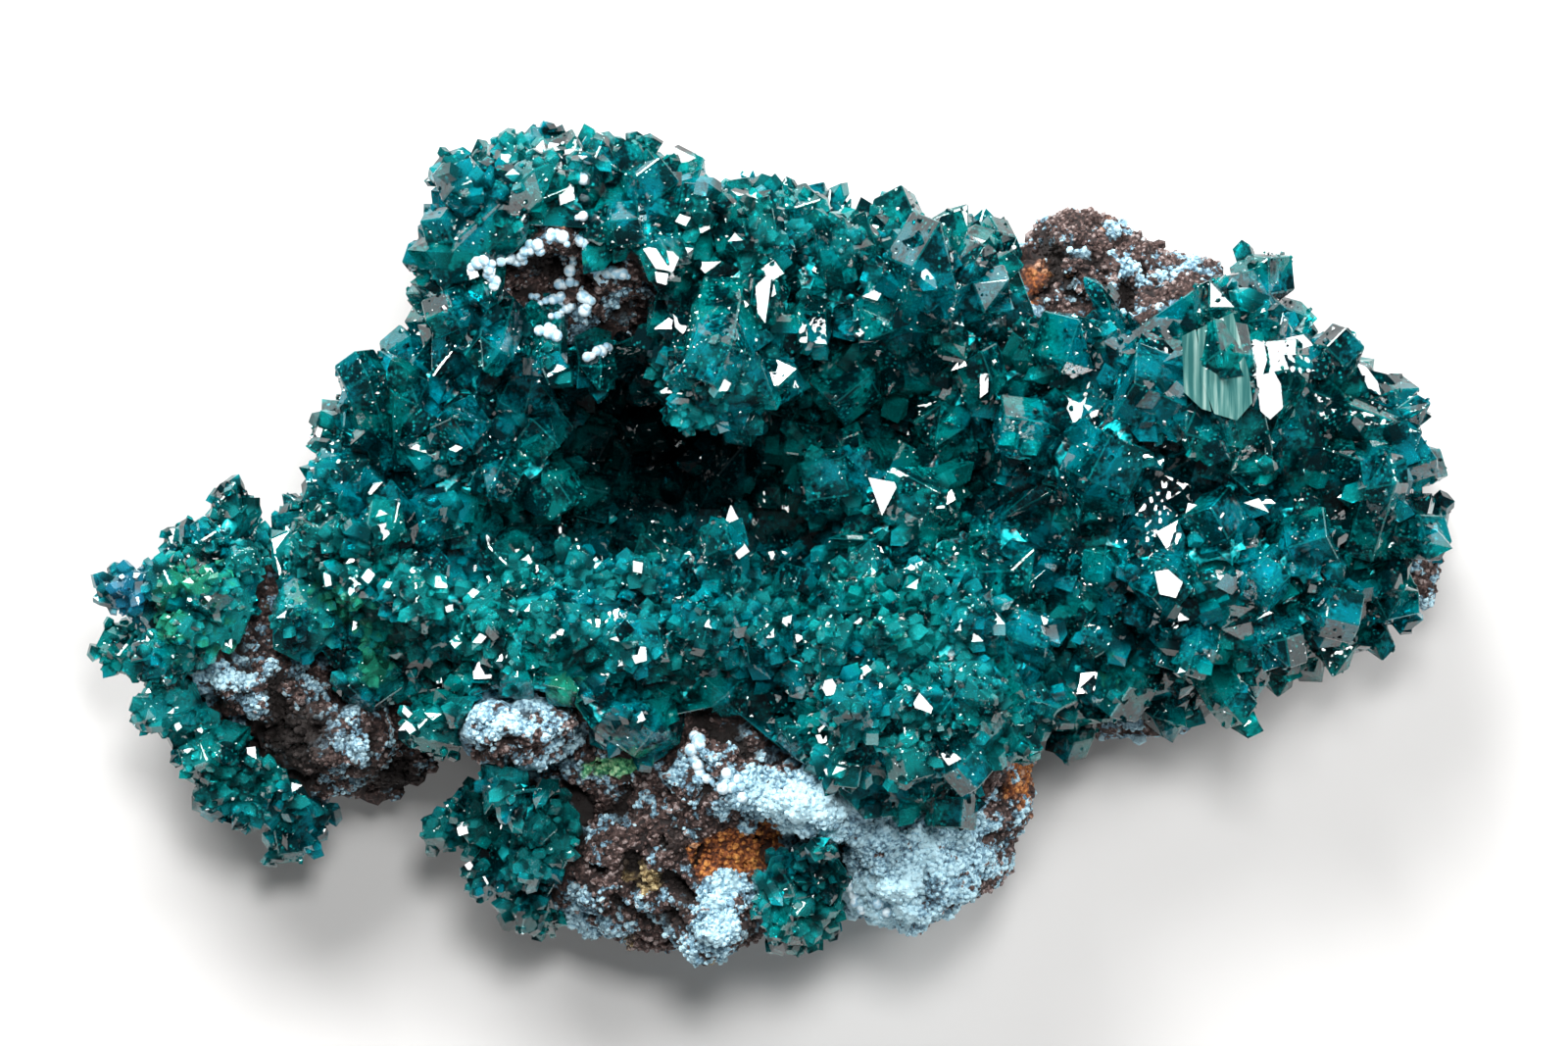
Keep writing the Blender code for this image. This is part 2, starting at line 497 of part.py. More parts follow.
def make_crust(name, bed, skin, outline, crystals, seed, triangles):
    """A crust: the skin over an outline with its crystals, cut clear of the rock."""
    crust = linked(name, skin.data.copy())
    block = column("block", outline)
    combined(crust, block, "INTERSECT")
    dropped(block)
    for spot_outline in BARE_SPOTS.values():
        spot = column("spot", spot_outline)
        combined(crust, spot, "DIFFERENCE")
        dropped(spot)
    rng = random.Random(seed)
    tree = tree_of(skin.data)
    group = bpy.data.collections.new(name + "_crystals")
    made = chosen_crystals(tree, crystals, rng) + seeded_crystals(skin, tree, outline, crystals, rng)
    for obj in made:
        group.objects.link(obj)
    print(name, len(made), "crystals")
    joined(crust, group)
    seam = column("seam", SEAM_OUTLINE, low=0)
    combined(crust, seam, "DIFFERENCE")
    dropped(seam)
    combined(crust, bed, "DIFFERENCE")
    largest_body(crust)
    without_slivers(crust)
    free_side(crust, bed)
    thinned(crust, triangles, "free side")
    count(crust)
    return crust


def without_slivers(obj):
    """Welds what a cut left a hair apart and splits every face into triangles."""
    bm = bmesh.new()
    bm.from_mesh(obj.data)
    bmesh.ops.remove_doubles(bm, verts=bm.verts, dist=WELD * MM)
    bmesh.ops.dissolve_degenerate(bm, edges=bm.edges, dist=WELD * MM)
    bmesh.ops.triangulate(bm, faces=bm.faces)
    bm.to_mesh(obj.data)
    bm.free()


def free_side(crust, bed):
    """Marks what stands clear of the bed. Only these faces are thinned out, and the cut side is kept."""
    tree = tree_of(bed.data)
    group = crust.vertex_groups.new(name="free side")
    for vertex in crust.data.vertices:
        if tree.find_nearest(vertex.co)[3] > FREE_DISTANCE * MM:
            group.add([vertex.index], 1.0, "REPLACE")


def centred(objects):
    """Moves the specimen so that its box stands over the origin."""
    corners = [v.co for obj in objects for v in obj.data.vertices]
    low = Vector([min(co[i] for co in corners) for i in range(3)])
    high = Vector([max(co[i] for co in corners) for i in range(3)])
    shift = Vector((-(low.x + high.x) / 2, -(low.y + high.y) / 2, -low.z))
    for obj in objects:
        obj.data.transform(Matrix.Translation(shift))
    print("box", [round(side / MM, 2) for side in high - low])
    print("shift", [round(side / MM, 3) for side in shift])


def finish(name, colour, roughness, clear=0.0):
    material = bpy.data.materials.new(name)
    material.use_nodes = True
    shader = material.node_tree.nodes["Principled BSDF"]
    shader.inputs["Base Color"].default_value = (*colour, 1)
    shader.inputs["Roughness"].default_value = roughness
    shader.inputs["Metallic"].default_value = 0
    shader.inputs["Transmission Weight"].default_value = clear
    return material


def main():
    for obj in list(bpy.data.objects):
        bpy.data.objects.remove(obj)
    bed = make_bed()
    skin = swollen(bed, "skin", CRUST_SKIN)
    remeshed(skin, SKIN_VOXEL)
    thinned(skin, SKIN_TRIANGLES)
    rock = swollen(bed, "matrix", -GAP)
    cut_flat(rock)
    add_beads(rock)
    rock.data.materials.append(finish("gossan", ROCK_COLOUR, ROCK_ROUGHNESS))
    gem = finish("dioptase", GEM_COLOUR, GEM_ROUGHNESS, clear=GEM_CLEARNESS)
    nodes = [rock]
    for name, (outline, crystals, seed, triangles) in CRUSTS.items():
        crust = make_crust(name, bed, skin, outline, crystals, seed, triangles)
        crust.data.materials.append(gem)
        nodes.append(crust)
    dropped(skin)
    dropped(bed)
    centred(nodes)


main()
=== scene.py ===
# %% [markdown]
# A dioptase specimen, lying on the back of its rock.
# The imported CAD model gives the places: one lump of rock and four crusts of crystals. This script
# keeps those places and gives them what a solid with few faces can't hold: thousands of small
# crystals, the crumbly rock with its pale blue skin, and clear green crystal that light goes through.

import math
import random

import bmesh
import bpy
import numpy as np
from mathutils import Matrix, Vector, noise
from mathutils.bvhtree import BVHTree


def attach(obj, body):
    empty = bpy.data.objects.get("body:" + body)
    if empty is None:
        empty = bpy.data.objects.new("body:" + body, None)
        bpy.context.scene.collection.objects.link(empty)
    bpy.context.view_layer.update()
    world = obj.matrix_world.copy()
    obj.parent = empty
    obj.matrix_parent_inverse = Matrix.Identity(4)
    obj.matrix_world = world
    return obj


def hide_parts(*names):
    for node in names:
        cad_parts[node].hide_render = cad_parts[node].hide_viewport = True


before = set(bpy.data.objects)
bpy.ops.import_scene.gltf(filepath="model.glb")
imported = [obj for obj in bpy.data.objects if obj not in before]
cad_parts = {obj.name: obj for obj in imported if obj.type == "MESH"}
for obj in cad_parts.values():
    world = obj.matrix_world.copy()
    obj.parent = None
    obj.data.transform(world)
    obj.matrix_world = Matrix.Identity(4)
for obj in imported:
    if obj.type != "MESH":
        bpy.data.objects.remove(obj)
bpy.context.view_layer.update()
print("CAD nodes:", ", ".join(sorted(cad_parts)))

# %% [markdown]
# Sizes are written in millimetres and turned into metres by one factor.
# Places that were read off the photograph stay in its pixels, where they can be checked against it.
# Two functions turn a pixel into a place on the specimen and back. The photograph is 1600 pixels wide
# and the specimen 1367 of them, so a pixel is 0.0695 mm.

# %% Units and places
MM = 0.001
PIXEL = 0.0695 * MM
PHOTO_SIZE = (1600, 1067)
ORIGIN_PIXEL = (788.8, 553.6)
VIEW_WIDTH = PHOTO_SIZE[0] * PIXEL
VIEW_MIDDLE = (PHOTO_SIZE[0] / 2, PHOTO_SIZE[1] / 2)
VIEW_PLANE = 12 * MM
LENS = 300.0
SENSOR = 36.0
VIEW_DISTANCE = VIEW_WIDTH * LENS / SENSOR
ABOVE = 0.1
DOWN = Vector((0, 0, -1))
CRUSTS = ("dioptase_main_druse", "dioptase_arm_druse", "dioptase_foot_druse", "dioptase_patch")


def place(px, py):
    """The x and y, in metres, that a pixel of the photograph shows."""
    return (px - ORIGIN_PIXEL[0]) * PIXEL, (ORIGIN_PIXEL[1] - py) * PIXEL


def pixel(co):
    """The pixel of the photograph that shows a point."""
    return co[0] / PIXEL + ORIGIN_PIXEL[0], ORIGIN_PIXEL[1] - co[1] / PIXEL


def nearer(spot, height):
    """Where a point must stand at this height to be seen at the same pixel as on the middle plane."""
    middle = Vector((*place(*VIEW_MIDDLE), 0))
    moved = middle + (spot - middle) * (1 - (height - VIEW_PLANE) / VIEW_DISTANCE)
    return Vector((moved.x, moved.y, height))


print("left tip of the arm is at", [round(v / MM, 1) for v in place(120, 610)], "mm")

# %% [markdown]
# Small helpers for meshes. A CAD node arrives as loose triangles, so its copy is merged before
# anything else is done with it. Modifiers are used as tools: they are run once and the plain mesh is
# kept. A number can be stored at every point of a mesh, where a tree or a material reads it.

# %% Mesh helpers
MERGE_DISTANCE = 0.001 * MM


def linked(name, mesh):
    obj = bpy.data.objects.new(name, mesh)
    bpy.context.scene.collection.objects.link(obj)
    return obj


def mesh_from(bm, name):
    mesh = bpy.data.meshes.new(name)
    bm.to_mesh(mesh)
    bm.free()
    return mesh


def merged_copy(node, name):
    bm = bmesh.new()
    bm.from_mesh(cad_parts[node].data)
    bmesh.ops.remove_doubles(bm, verts=bm.verts, dist=MERGE_DISTANCE)
    return linked(name, mesh_from(bm, name))


def settled(obj):
    """The object with its modifiers made part of its mesh."""
    graph = bpy.context.evaluated_depsgraph_get()
    mesh = bpy.data.meshes.new_from_object(obj.evaluated_get(graph))
    obj.modifiers.clear()
    obj.data = mesh
    return obj


def remeshed(obj, voxel, smoothing):
    """An even skin of small faces, softened by this many rounds of smoothing."""
    step = obj.modifiers.new("Even skin", "REMESH")
    step.mode = "VOXEL"
    step.voxel_size = voxel * MM
    step = obj.modifiers.new("Soften", "SMOOTH")
    step.iterations = smoothing
    return settled(obj)


def read_vectors(items, name):
    flat = np.empty(len(items) * 3, np.float32)
    items.foreach_get(name, flat)
    return flat.reshape(-1, 3)


def tree_of(*meshes):
    """One search tree over the surfaces of all these meshes."""
    points, faces = [], []
    for mesh in meshes:
        start = len(points)
        points += [vert.co for vert in mesh.vertices]
        faces += [[start + index for index in face.vertices] for face in mesh.polygons]
    return BVHTree.FromPolygons(points, faces)


def triangles(obj):
    obj.data.calc_loop_triangles()
    return len(obj.data.loop_triangles)


def mark(mesh, name, values):
    attribute = mesh.attributes.new(name, "FLOAT", "POINT")
    attribute.data.foreach_set("value", np.asarray(values, np.float32))


for node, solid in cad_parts.items():
    print(node, triangles(solid), "triangles in the CAD")

# %% [markdown]
# The rock is one piece. Its colours follow its surface: a pale blue skin of tiny round knobs, brown and
# rusty pits, golden and green powder, and painted shade that darkens the pits and some hollows. Two more
# lists say where mint green and azure lie on the crystals. Each colour is a number at every point of the
# mesh, worked out from a short list of patches, so the shape and the material can both follow it. A patch
# is a middle in pixels, two half widths, and a strength.

# %% Where the colours lie
BLUE_PATCHES = [
    (522, 722, 56, 24, 0.8), (488, 745, 24, 24, 0.5), (575, 752, 22, 26, 0.4), (540, 782, 20, 14, 0.6),
    (835, 815, 62, 34, 1.6), (748, 806, 22, 20, 0.5), (722, 770, 26, 24, 0.2), (700, 795, 40, 20, 0.2),
    (742, 905, 30, 34, 0.8), (722, 950, 26, 34, 0.9), (940, 870, 58, 40, 1.3), (905, 925, 46, 26, 1.2),
    (868, 908, 18, 20, 1.4), (985, 830, 30, 22, 0.5), (560, 930, 40, 22, 0.5), (610, 945, 36, 20, 0.5),
    (234, 690, 52, 30, 0.6), (352, 742, 38, 44, 0.45), (1180, 276, 50, 18, 0.35), (1062, 322, 22, 22, 0.4),
    (1440, 600, 40, 44, 0.35), (1160, 738, 70, 24, 0.3), (875, 604, 16, 10, 0.5), (790, 870, 30, 16, 0.5),
    (580, 335, 30, 18, 0.3),
]
RUST_PATCHES = [
    (722, 872, 16, 16, 1.4), (752, 866, 30, 22, 1.5), (784, 852, 14, 18, 1.3), (1060, 290, 32, 30, 0.6),
    (1130, 235, 90, 20, 0.25), (624, 258, 18, 16, 0.9), (582, 215, 22, 40, 0.5), (1035, 790, 22, 60, 0.5),
]
GOLD_PATCHES = [
    (565, 862, 22, 16, 1.1), (535, 735, 20, 12, 0.6), (500, 765, 14, 10, 0.6), (660, 893, 26, 18, 1.1),
    (640, 960, 20, 12, 0.6), (740, 975, 26, 10, 0.6), (1020, 300, 14, 30, 0.5), (905, 800, 16, 10, 0.6),
]
POWDER_PATCHES = [
    (330, 610, 32, 14, 1.0), (366, 632, 8, 18, 1.0), (384, 680, 12, 22, 0.9), (580, 700, 10, 22, 1.1),
    (628, 778, 26, 9, 1.6), (1132, 682, 14, 20, 0.7), (236, 615, 40, 40, 0.3),
]
# Patches of painted shade in the rock's hollows and crevices.
HOLLOW_SHADE_PATCHES = [
    (305, 745, 50, 34, 1.0), (270, 800, 60, 30, 0.8), (400, 790, 40, 24, 0.9), (400, 690, 18, 16, 0.6),
    (556, 274, 20, 14, 1.0), (632, 322, 22, 12, 0.8), (690, 850, 12, 28, 0.7), (640, 830, 20, 10, 0.5),
    (620, 715, 40, 14, 0.7), (672, 716, 26, 16, 0.6), (760, 945, 14, 20, 0.7), (845, 872, 12, 18, 0.6),
    (480, 792, 16, 22, 0.8), (690, 925, 12, 30, 0.6), (585, 820, 16, 40, 0.6), (1080, 245, 14, 10, 0.5),
    (1062, 300, 10, 30, 0.6), (1000, 790, 20, 30, 0.5), (930, 830, 30, 8, 0.5),
]
MINT_PATCHES = [
    (330, 610, 34, 14, 1.6), (370, 636, 12, 22, 1.5), (384, 680, 14, 24, 1.5), (580, 700, 12, 22, 1.6),
    (628, 770, 30, 14, 1.5), (1132, 682, 14, 20, 1.1), (205, 590, 34, 16, 1.3), (175, 630, 16, 30, 1.2),
    (230, 650, 40, 26, 0.7), (550, 620, 20, 10, 0.5), (900, 640, 20, 10, 0.4),
]
AZURE_PATCHES = [(136, 605, 26, 34, 1.2), (160, 570, 20, 12, 0.4)]
RAGGED = {
    "rust": (RUST_PATCHES, 0.35, 1.6, (0, 0, 0.05)),
    "gold": (GOLD_PATCHES, 0.4, 1.4, (0, 0.03, 0)),
    "powder": (POWDER_PATCHES, 0.3, 1.3, (0.03, 0, 0)),
}
BLUE_NOISE = (0.72, 1.7, 4)
BLUE_EVERYWHERE = 0.12
RUST_OVER_BLUE = 0.35
GOLD_OVER_BLUE = 0.5


def patch_strength(co, patches):
    """All patches together at a point. Each fades with the distance from its middle."""
    px, py = pixel(co)
    total = 0.0
    for cx, cy, rx, ry, strength in patches:
        total += strength * math.exp(-(((px - cx) / rx) ** 2 + ((py - cy) / ry) ** 2))
    return total


def grainy(co, size, depth=3):
    """Noise from -1 to 1 whose lumps are this many millimetres wide."""
    return noise.fractal(Vector(co) / (size * MM), 1.0, 2.0, depth)


def ragged_strength(co, patches, amount, size, shift):
    """Patches with ragged edges. The shift gives each colour a noise of its own."""
    moved = [along + step for along, step in zip(co, shift)]
    return patch_strength(co, patches) + amount * grainy(moved, size)


def colour_marks(co):
    """How blue, rusty, golden and powdery the rock is at a point, and how much painted shade darkens its
    hollows.
    """
    rust, gold, powder = (ragged_strength(co, *values) for values in RAGGED.values())
    amount, size, depth = BLUE_NOISE
    blue = patch_strength(co, BLUE_PATCHES) + amount * grainy(co, size, depth) + BLUE_EVERYWHERE
    blue -= max(0.0, rust - RUST_OVER_BLUE) + max(0.0, gold - GOLD_OVER_BLUE)
    return blue, rust, gold, powder, patch_strength(co, HOLLOW_SHADE_PATCHES)


print(len(BLUE_PATCHES), "blue patches,", len(RUST_PATCHES), "rusty ones")

# %% [markdown]
# The real rock is crumbly: a skin of knobs about a millimetre high where it is blue, pits where it is
# brown, a rough break elsewhere. It could be painted on with a bump map, but the knobs show in the
# outline. So every point is moved along its normal by a height worked out here from the colours at
# that point. The flat on the underside is left alone, because the specimen lies on it.

# %% Knobs and pits
KNOBS = ((1.9, 0.75), (0.8, 0.36), (0.4, 0.14))
KNOB_ROUNDNESS = 1.6
CRUMBS = ((1.3, 0.50), (0.5, 0.28))
CRUMB_NOISE = (0.3, 1.0, 4)
COVER = (0.3, 0.7)
SWELL = 0.55
SWELL_SIZE = 4.5
PIT_SIZE = 2.0
PIT_LIMITS = (0.08, 0.42)
PIT_DEPTH = 1.5
PIT_FILLED = 0.6
SUNK = 0.3
REST_HEIGHTS = (0.2, 1.2)
FRONT_HEIGHT = 7.0
FRONT_FACING = -0.2
BURIED = 0.7


def soft_step(value, low, high):
    t = min(1.0, max(0.0, (value - low) / (high - low)))
    return t * t * (3 - 2 * t)


def knob(co, size):
    """Round tops with sharp valleys between them, 0 to 1, as in a skin of grown-together balls."""
    near = noise.voronoi(Vector(co) / (size * MM), distance_metric="DISTANCE")[0][0]
    return max(0.0, 1 - near * near * KNOB_ROUNDNESS)


def sum_of_knobs(co, sizes):
    return sum(height * knob(co, size) for size, height in sizes)


crust_tree = tree_of(*(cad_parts[node].data for node in CRUSTS))


def is_bare(co):
    return crust_tree.find_nearest(co)[3] > BURIED * MM


def rock_point(co, normal):
    """How far a point of the rock moves outwards, and the numbers that are stored there."""
    blue, rust, gold, powder, hollow_shade = colour_marks(co)
    cover = soft_step(blue, *COVER)
    amount, size, depth = CRUMB_NOISE
    crumbs = sum_of_knobs(co, CRUMBS) + amount * grainy(co, size, depth)
    crest = cover * sum_of_knobs(co, KNOBS) + (1 - cover) * crumbs
    pit = soft_step(grainy(co, PIT_SIZE), *PIT_LIMITS) * (1 - PIT_FILLED * cover)
    height = crest - PIT_DEPTH * pit + SWELL * grainy(co, SWELL_SIZE, 2)
    bare = is_bare(co) and co.z > REST_HEIGHTS[1] * MM
    front = bare and co.z > FRONT_HEIGHT * MM and normal[2] > FRONT_FACING
    # The pit number also carries the painted shade of the hollows, and the material paints both nearly
    # black.
    marks = (blue, rust, gold, powder, crest, min(1.0, pit + hollow_shade), float(front), float(bare and not front))
    return (height - SUNK) * soft_step(co.z / MM, *REST_HEIGHTS) * MM, marks


print("the knobs are up to", round(sum(height for size, height in KNOBS), 2), "mm high")

# %% [markdown]
# In the hollow of the head, pale beads lie in strings on low ridges of the rock. The strings were
# followed in the photograph, a few points to each. The ridge is high on the line and falls off to both
# sides in a bell curve, so all it needs is each point's distance from the nearest line.

# %% Ridges under the beads
BEAD_STRINGS = [
    [(487, 276), (499, 271), (506, 286), (511, 298), (518, 312)],
    [(508, 272), (530, 271)],
    [(536, 272), (543, 261), (553, 251), (558, 262), (547, 270)],
    [(564, 247), (573, 243), (582, 254), (589, 268), (585, 279)],
    [(590, 250), (600, 254)],
    [(604, 256), (604, 266), (608, 278), (616, 289), (624, 284), (635, 282), (646, 286), (657, 292)],
    [(640, 291), (650, 298), (664, 303), (676, 303), (668, 296)],
    [(597, 306), (606, 309), (600, 320)],
    [(573, 292), (584, 290), (590, 296), (597, 300)],
    [(548, 306), (560, 312), (574, 307), (586, 313), (578, 322), (566, 324)],
    [(557, 343), (571, 345), (566, 338)],
    [(602, 366), (613, 361), (624, 357), (632, 351), (638, 347)],
    [(667, 362), (676, 358), (687, 354)],
    [(590, 182), (600, 190)],
    [(596, 226), (598, 227)],
    [(640, 170), (650, 168), (645, 180)],
]
RIDGE_HEIGHT = 1.7
RIDGE_WIDTH = 0.62
RIDGE_FACING = 0.2


def distance_to_strings(points, strings):
    """How far each point is, seen from above, from the nearest of these strings."""
    nearest = np.ones(len(points))
    for string in strings:
        ends = [np.array(place(px, py)) for px, py in string]
        for start, end in zip(ends, ends[1:]):
            run = end - start
            along = np.clip((points[:, :2] - start) @ run / (run @ run), 0, 1)
            gap = np.linalg.norm(points[:, :2] - start - along[:, None] * run, axis=1)
            nearest = np.minimum(nearest, gap)
    return nearest


print(len(BEAD_STRINGS), "strings of beads")

# %% [markdown]
# Now the rock itself. The CAD solid has few large faces, too few to follow the knobs, so a voxel
# remesh gives it an even skin of small ones. The side that the camera sees is then split once more,
# because even finer faces all round would take the mesh past what it may have. The heights and
# the ridges move its points, and the numbers that the materials read are stored on them.

# %% The rock
ROCK_VOXEL = 0.62
FRONT_CUTS = 2
ROCK_MARKS = ("blue", "rust", "gold", "powder", "crest", "pit", "front", "rear")


def refine_front(rock):
    """Splits the faces that the camera sees into smaller ones, and leaves the back as it is."""
    bm = bmesh.new()
    bm.from_mesh(rock.data)
    shown = set()
    for vert in bm.verts:
        if vert.co.z > FRONT_HEIGHT * MM and vert.normal.z > FRONT_FACING and is_bare(vert.co):
            shown.add(vert)
    edges = [edge for edge in bm.edges if edge.verts[0] in shown and edge.verts[1] in shown]
    bmesh.ops.subdivide_edges(bm, edges=edges, cuts=FRONT_CUTS, use_grid_fill=True, smooth=0.3)
    bmesh.ops.triangulate(bm, faces=[face for face in bm.faces if len(face.verts) > 4])
    bm.to_mesh(rock.data)
    bm.free()


def make_rock():
    rock = remeshed(merged_copy("matrix", "rock"), ROCK_VOXEL, smoothing=2)
    refine_front(rock)
    mesh = rock.data
    places = read_vectors(mesh.vertices, "co")
    normals = read_vectors(mesh.vertex_normals, "vector")
    ridge = np.exp(-(distance_to_strings(places, BEAD_STRINGS) / (RIDGE_WIDTH * MM)) ** 2)
    places[:, 2] += RIDGE_HEIGHT * MM * ridge * (normals[:, 2] > RIDGE_FACING)
    heights, marks = zip(*(rock_point(Vector(co), normal) for co, normal in zip(places, normals)))
    mesh.vertices.foreach_set("co", (places + normals * np.array(heights)[:, None]).ravel())
    for name, values in zip(ROCK_MARKS, np.array(marks).T):
        mark(mesh, name, values)
    mesh.shade_smooth()
    return rock


rock = make_rock()
cad_rock_tree = tree_of(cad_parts["matrix"].data)
print("rock:", triangles(rock), "triangles")

# %% [markdown]
# A crystal of dioptase is a six-sided prism closed by three rhombic faces, here a little lopsided.
# It is repeated thousands of times, so it is built from thirteen corners and nothing more. Its radius
# is about one unit, and it is stretched to size where it is planted.

# %% A crystal's form
RHOMB_SLOPE = math.tan(math.radians(51))
LOPSIDED = 0.16
CORNER_REACH = (0.9, 1.08)
ROOT = 0.9


def add_walls(bm, lower, upper):
    """The side faces between two rings of corners."""
    for i in range(len(lower)):
        bm.faces.new((lower[i - 1], lower[i], upper[i], upper[i - 1]))


def add_form(bm, name, collection):
    """Keeps a form, with a number that is 1 at its foot and 0 at its tip, which the crystal materials read
    as painted shade at the feet.
    """
    bmesh.ops.triangulate(bm, faces=bm.faces)
    bmesh.ops.recalc_face_normals(bm, faces=bm.faces)
    mesh = mesh_from(bm, name)
    heights = read_vectors(mesh.vertices, "co")[:, 2]
    mark(mesh, "root", (heights.max() - heights) / (heights.max() - heights.min()))
    collection.objects.link(bpy.data.objects.new(name, mesh))


def make_crystal(name, top, seed, collection):
    """A closed prism with its three end faces, each cut to a slightly different depth."""
    rng = random.Random(seed)
    bm = bmesh.new()
    tip = bm.verts.new((rng.uniform(-LOPSIDED, LOPSIDED), rng.uniform(-LOPSIDED, LOPSIDED), top))
    tops, roots = [], []
    for i in range(6):
        angle = math.radians(60 * i)
        reach = rng.uniform(*CORNER_REACH)
        x, y = reach * math.cos(angle), reach * math.sin(angle)
        tops.append(bm.verts.new((x, y, top - RHOMB_SLOPE / (1 + i % 2))))
        roots.append(bm.verts.new((x, y, -ROOT)))
    add_walls(bm, roots, tops)
    for i in (1, 3, 5):
        bm.faces.new((tip, tops[i - 1], tops[i], tops[(i + 1) % 6]))
    bm.faces.new(roots[::-1])
    add_form(bm, name, collection)


print("its end faces slope by", round(math.degrees(math.atan(RHOMB_SLOPE))), "degrees")

# %% [markdown]
# Two more small shapes. A chip is a splinter with one flat end, and makes a glint. A grain is a round
# lump of rock. Each kind comes in a few forms, so that no two neighbours have to look alike, and each
# form has a seed of its own.

# %% Chips, grains and all the forms
CHIP_TOP = 0.25
CHIP_FOOT = 0.8
CHIP_RAGGED = 0.25
CHIP_TURN = 2.3


def make_chip(name, sides, seed, collection):
    """A splinter with one flat bright end, and as many sides as asked."""
    rng = random.Random(seed)
    bm = bmesh.new()
    ends = []
    for z, widen in ((-ROOT, CHIP_FOOT), (CHIP_TOP, 1.0)):
        ring = []
        for i in range(sides):
            angle = 2 * math.pi * i / sides
            reach = widen * (1 - CHIP_RAGGED + CHIP_RAGGED * math.cos(CHIP_TURN * i + seed))
            ring.append(bm.verts.new((reach * math.cos(angle), reach * math.sin(angle), z)))
        ends.append(ring)
    bm.faces.new(ends[1])
    bm.faces.new(ends[0][::-1])
    add_walls(bm, *ends)
    bmesh.ops.rotate(bm, verts=bm.verts, matrix=Matrix.Rotation(rng.uniform(0, math.pi), 3, "Z"))
    add_form(bm, name, collection)


def make_grain(name, roughness, seed, collection):
    """A small lump with twenty faces."""
    rng = random.Random(seed)
    bm = bmesh.new()
    bmesh.ops.create_icosphere(bm, subdivisions=1, radius=1)
    for vert in bm.verts:
        vert.co *= 1 + rng.uniform(-roughness, roughness)
    add_form(bm, name, collection)


FORMS = {
    "small": (make_crystal, 60, (1.0, 1.3, 1.8)),
    "chip": (make_chip, 70, (3, 3, 4, 4, 5)),
    "grain": (make_grain, 80, (0.12, 0.22, 0.3)),
}
forms = {}
for kind, (make_form, seed, choices) in FORMS.items():
    forms[kind] = bpy.data.collections.new(f"{kind} forms")
    for number, choice in enumerate(choices):
        make_form(f"{kind}_form_{number}", choice, seed + number, forms[kind])

# %% [markdown]
# Geometry and looks are both built from nodes, by the same few helpers. One call makes a node: names
# in small letters are its settings, names with a capital are its inputs, and an input takes either a
# number or another node's output.

# %% Node helpers
def plug(tree, socket, source):
    """Connects a socket, or sets its value. A colour may leave out its fourth number."""
    if hasattr(source, "links"):
        tree.links.new(source, socket)
    elif socket.type == "RGBA":
        socket.default_value = (*source[:3], 1)
    else:
        socket.default_value = source


def feed(tree, target, *sources, **named):
    """Fills a node's inputs in order, past those given as None, and then by name, with _ for spaces."""
    for socket, source in zip(target.inputs, sources):
        if source is not None:
            plug(tree, socket, source)
    for name, source in named.items():
        plug(tree, target.inputs[name.replace("_", " ")], source)


def add_node(tree, kind, *sources, **named):
    made = tree.nodes.new(kind)
    inputs = {name: value for name, value in named.items() if name[0].isupper()}
    for name, value in named.items():
        if name not in inputs:
            setattr(made, name, value)
    feed(tree, made, *sources, **inputs)
    return made


def new_group(name, kind, result, inputs):
    """A node group with named inputs and one output, what it is given and its last node."""
    tree = bpy.data.node_groups.new(name, kind)
    for label, socket in inputs.items():
        tree.interface.new_socket(label, in_out="INPUT", socket_type="NodeSocket" + socket)
    tree.interface.new_socket(result, in_out="OUTPUT", socket_type="NodeSocket" + result)
    return tree, add_node(tree, "NodeGroupInput").outputs, add_node(tree, "NodeGroupOutput")


def combine(tree, operation, *sources):
    return add_node(tree, "ShaderNodeMath", *sources, operation=operation).outputs[0]


def random_between(tree, low, high, seed):
    made = add_node(tree, "FunctionNodeRandomValue", None, None, low, high, data_type="FLOAT", Seed=seed)
    return made.outputs[1]


def scaled_vector(tree, vector, size):
    return add_node(tree, "ShaderNodeVectorMath", operation="SCALE", Vector=vector, Scale=size).outputs[0]


def sum_of_vectors(tree, first, second):
    return add_node(tree, "ShaderNodeVectorMath", first, second, operation="ADD").outputs[0]


def random_direction(tree, size):
    """A random vector whose parts are between minus and plus this size."""
    sway = add_node(tree, "FunctionNodeRandomValue", (-1, -1, -1), (1, 1, 1), data_type="FLOAT_VECTOR")
    return scaled_vector(tree, sway.outputs[0], size)


def stored_number(tree, name):
    return add_node(tree, "GeometryNodeInputNamedAttribute", data_type="FLOAT", Name=name).outputs[0]


# %% [markdown]
# Planting thousands of shapes is work for Geometry Nodes: points are spread over a surface with a
# clear space round each, a shape is stood on each point, tilted, turned and stretched by seeded
# random numbers, and the result is realized as one mesh. A number stored at every point of the
# surface says where to plant, and another how large. "Follow" says how much a shape stands along the
# surface's normal, and "Facing" is a direction that it leans to instead, wherever it stands.
# Each shape also gets a random number of its own, the tint, which its material can read.

# %% The planting tree
PLANTING_INPUTS = {
    "Geometry": "Geometry", "Forms": "Collection", "Where": "String", "Spacing": "Float",
    "Density": "Float", "Thin": "Float", "Thick": "Float", "Short": "Float", "Long": "Float",
    "Tilt": "Float", "Follow": "Float", "Facing": "Vector", "Seed": "Int", "Material": "Material",
}
SPIN_SEED, THICKNESS_SEED, LENGTH_SEED, DEPTH_SEED, TINT_SEED = 3, 5, 7, 9, 11
FLATNESS = 0.75
LENGTHS = ("Spacing", "Thin", "Thick", "Step", "Jitter", "Small", "Large")


def realized(tree, instances, material, out):
    """Ends a tree: its instances become one plain mesh of this material."""
    real = add_node(tree, "GeometryNodeRealizeInstances", Geometry=instances)
    dressed = add_node(tree, "GeometryNodeSetMaterial", Geometry=real.outputs[0], Material=material)
    feed(tree, out, dressed.outputs[0])
    return tree


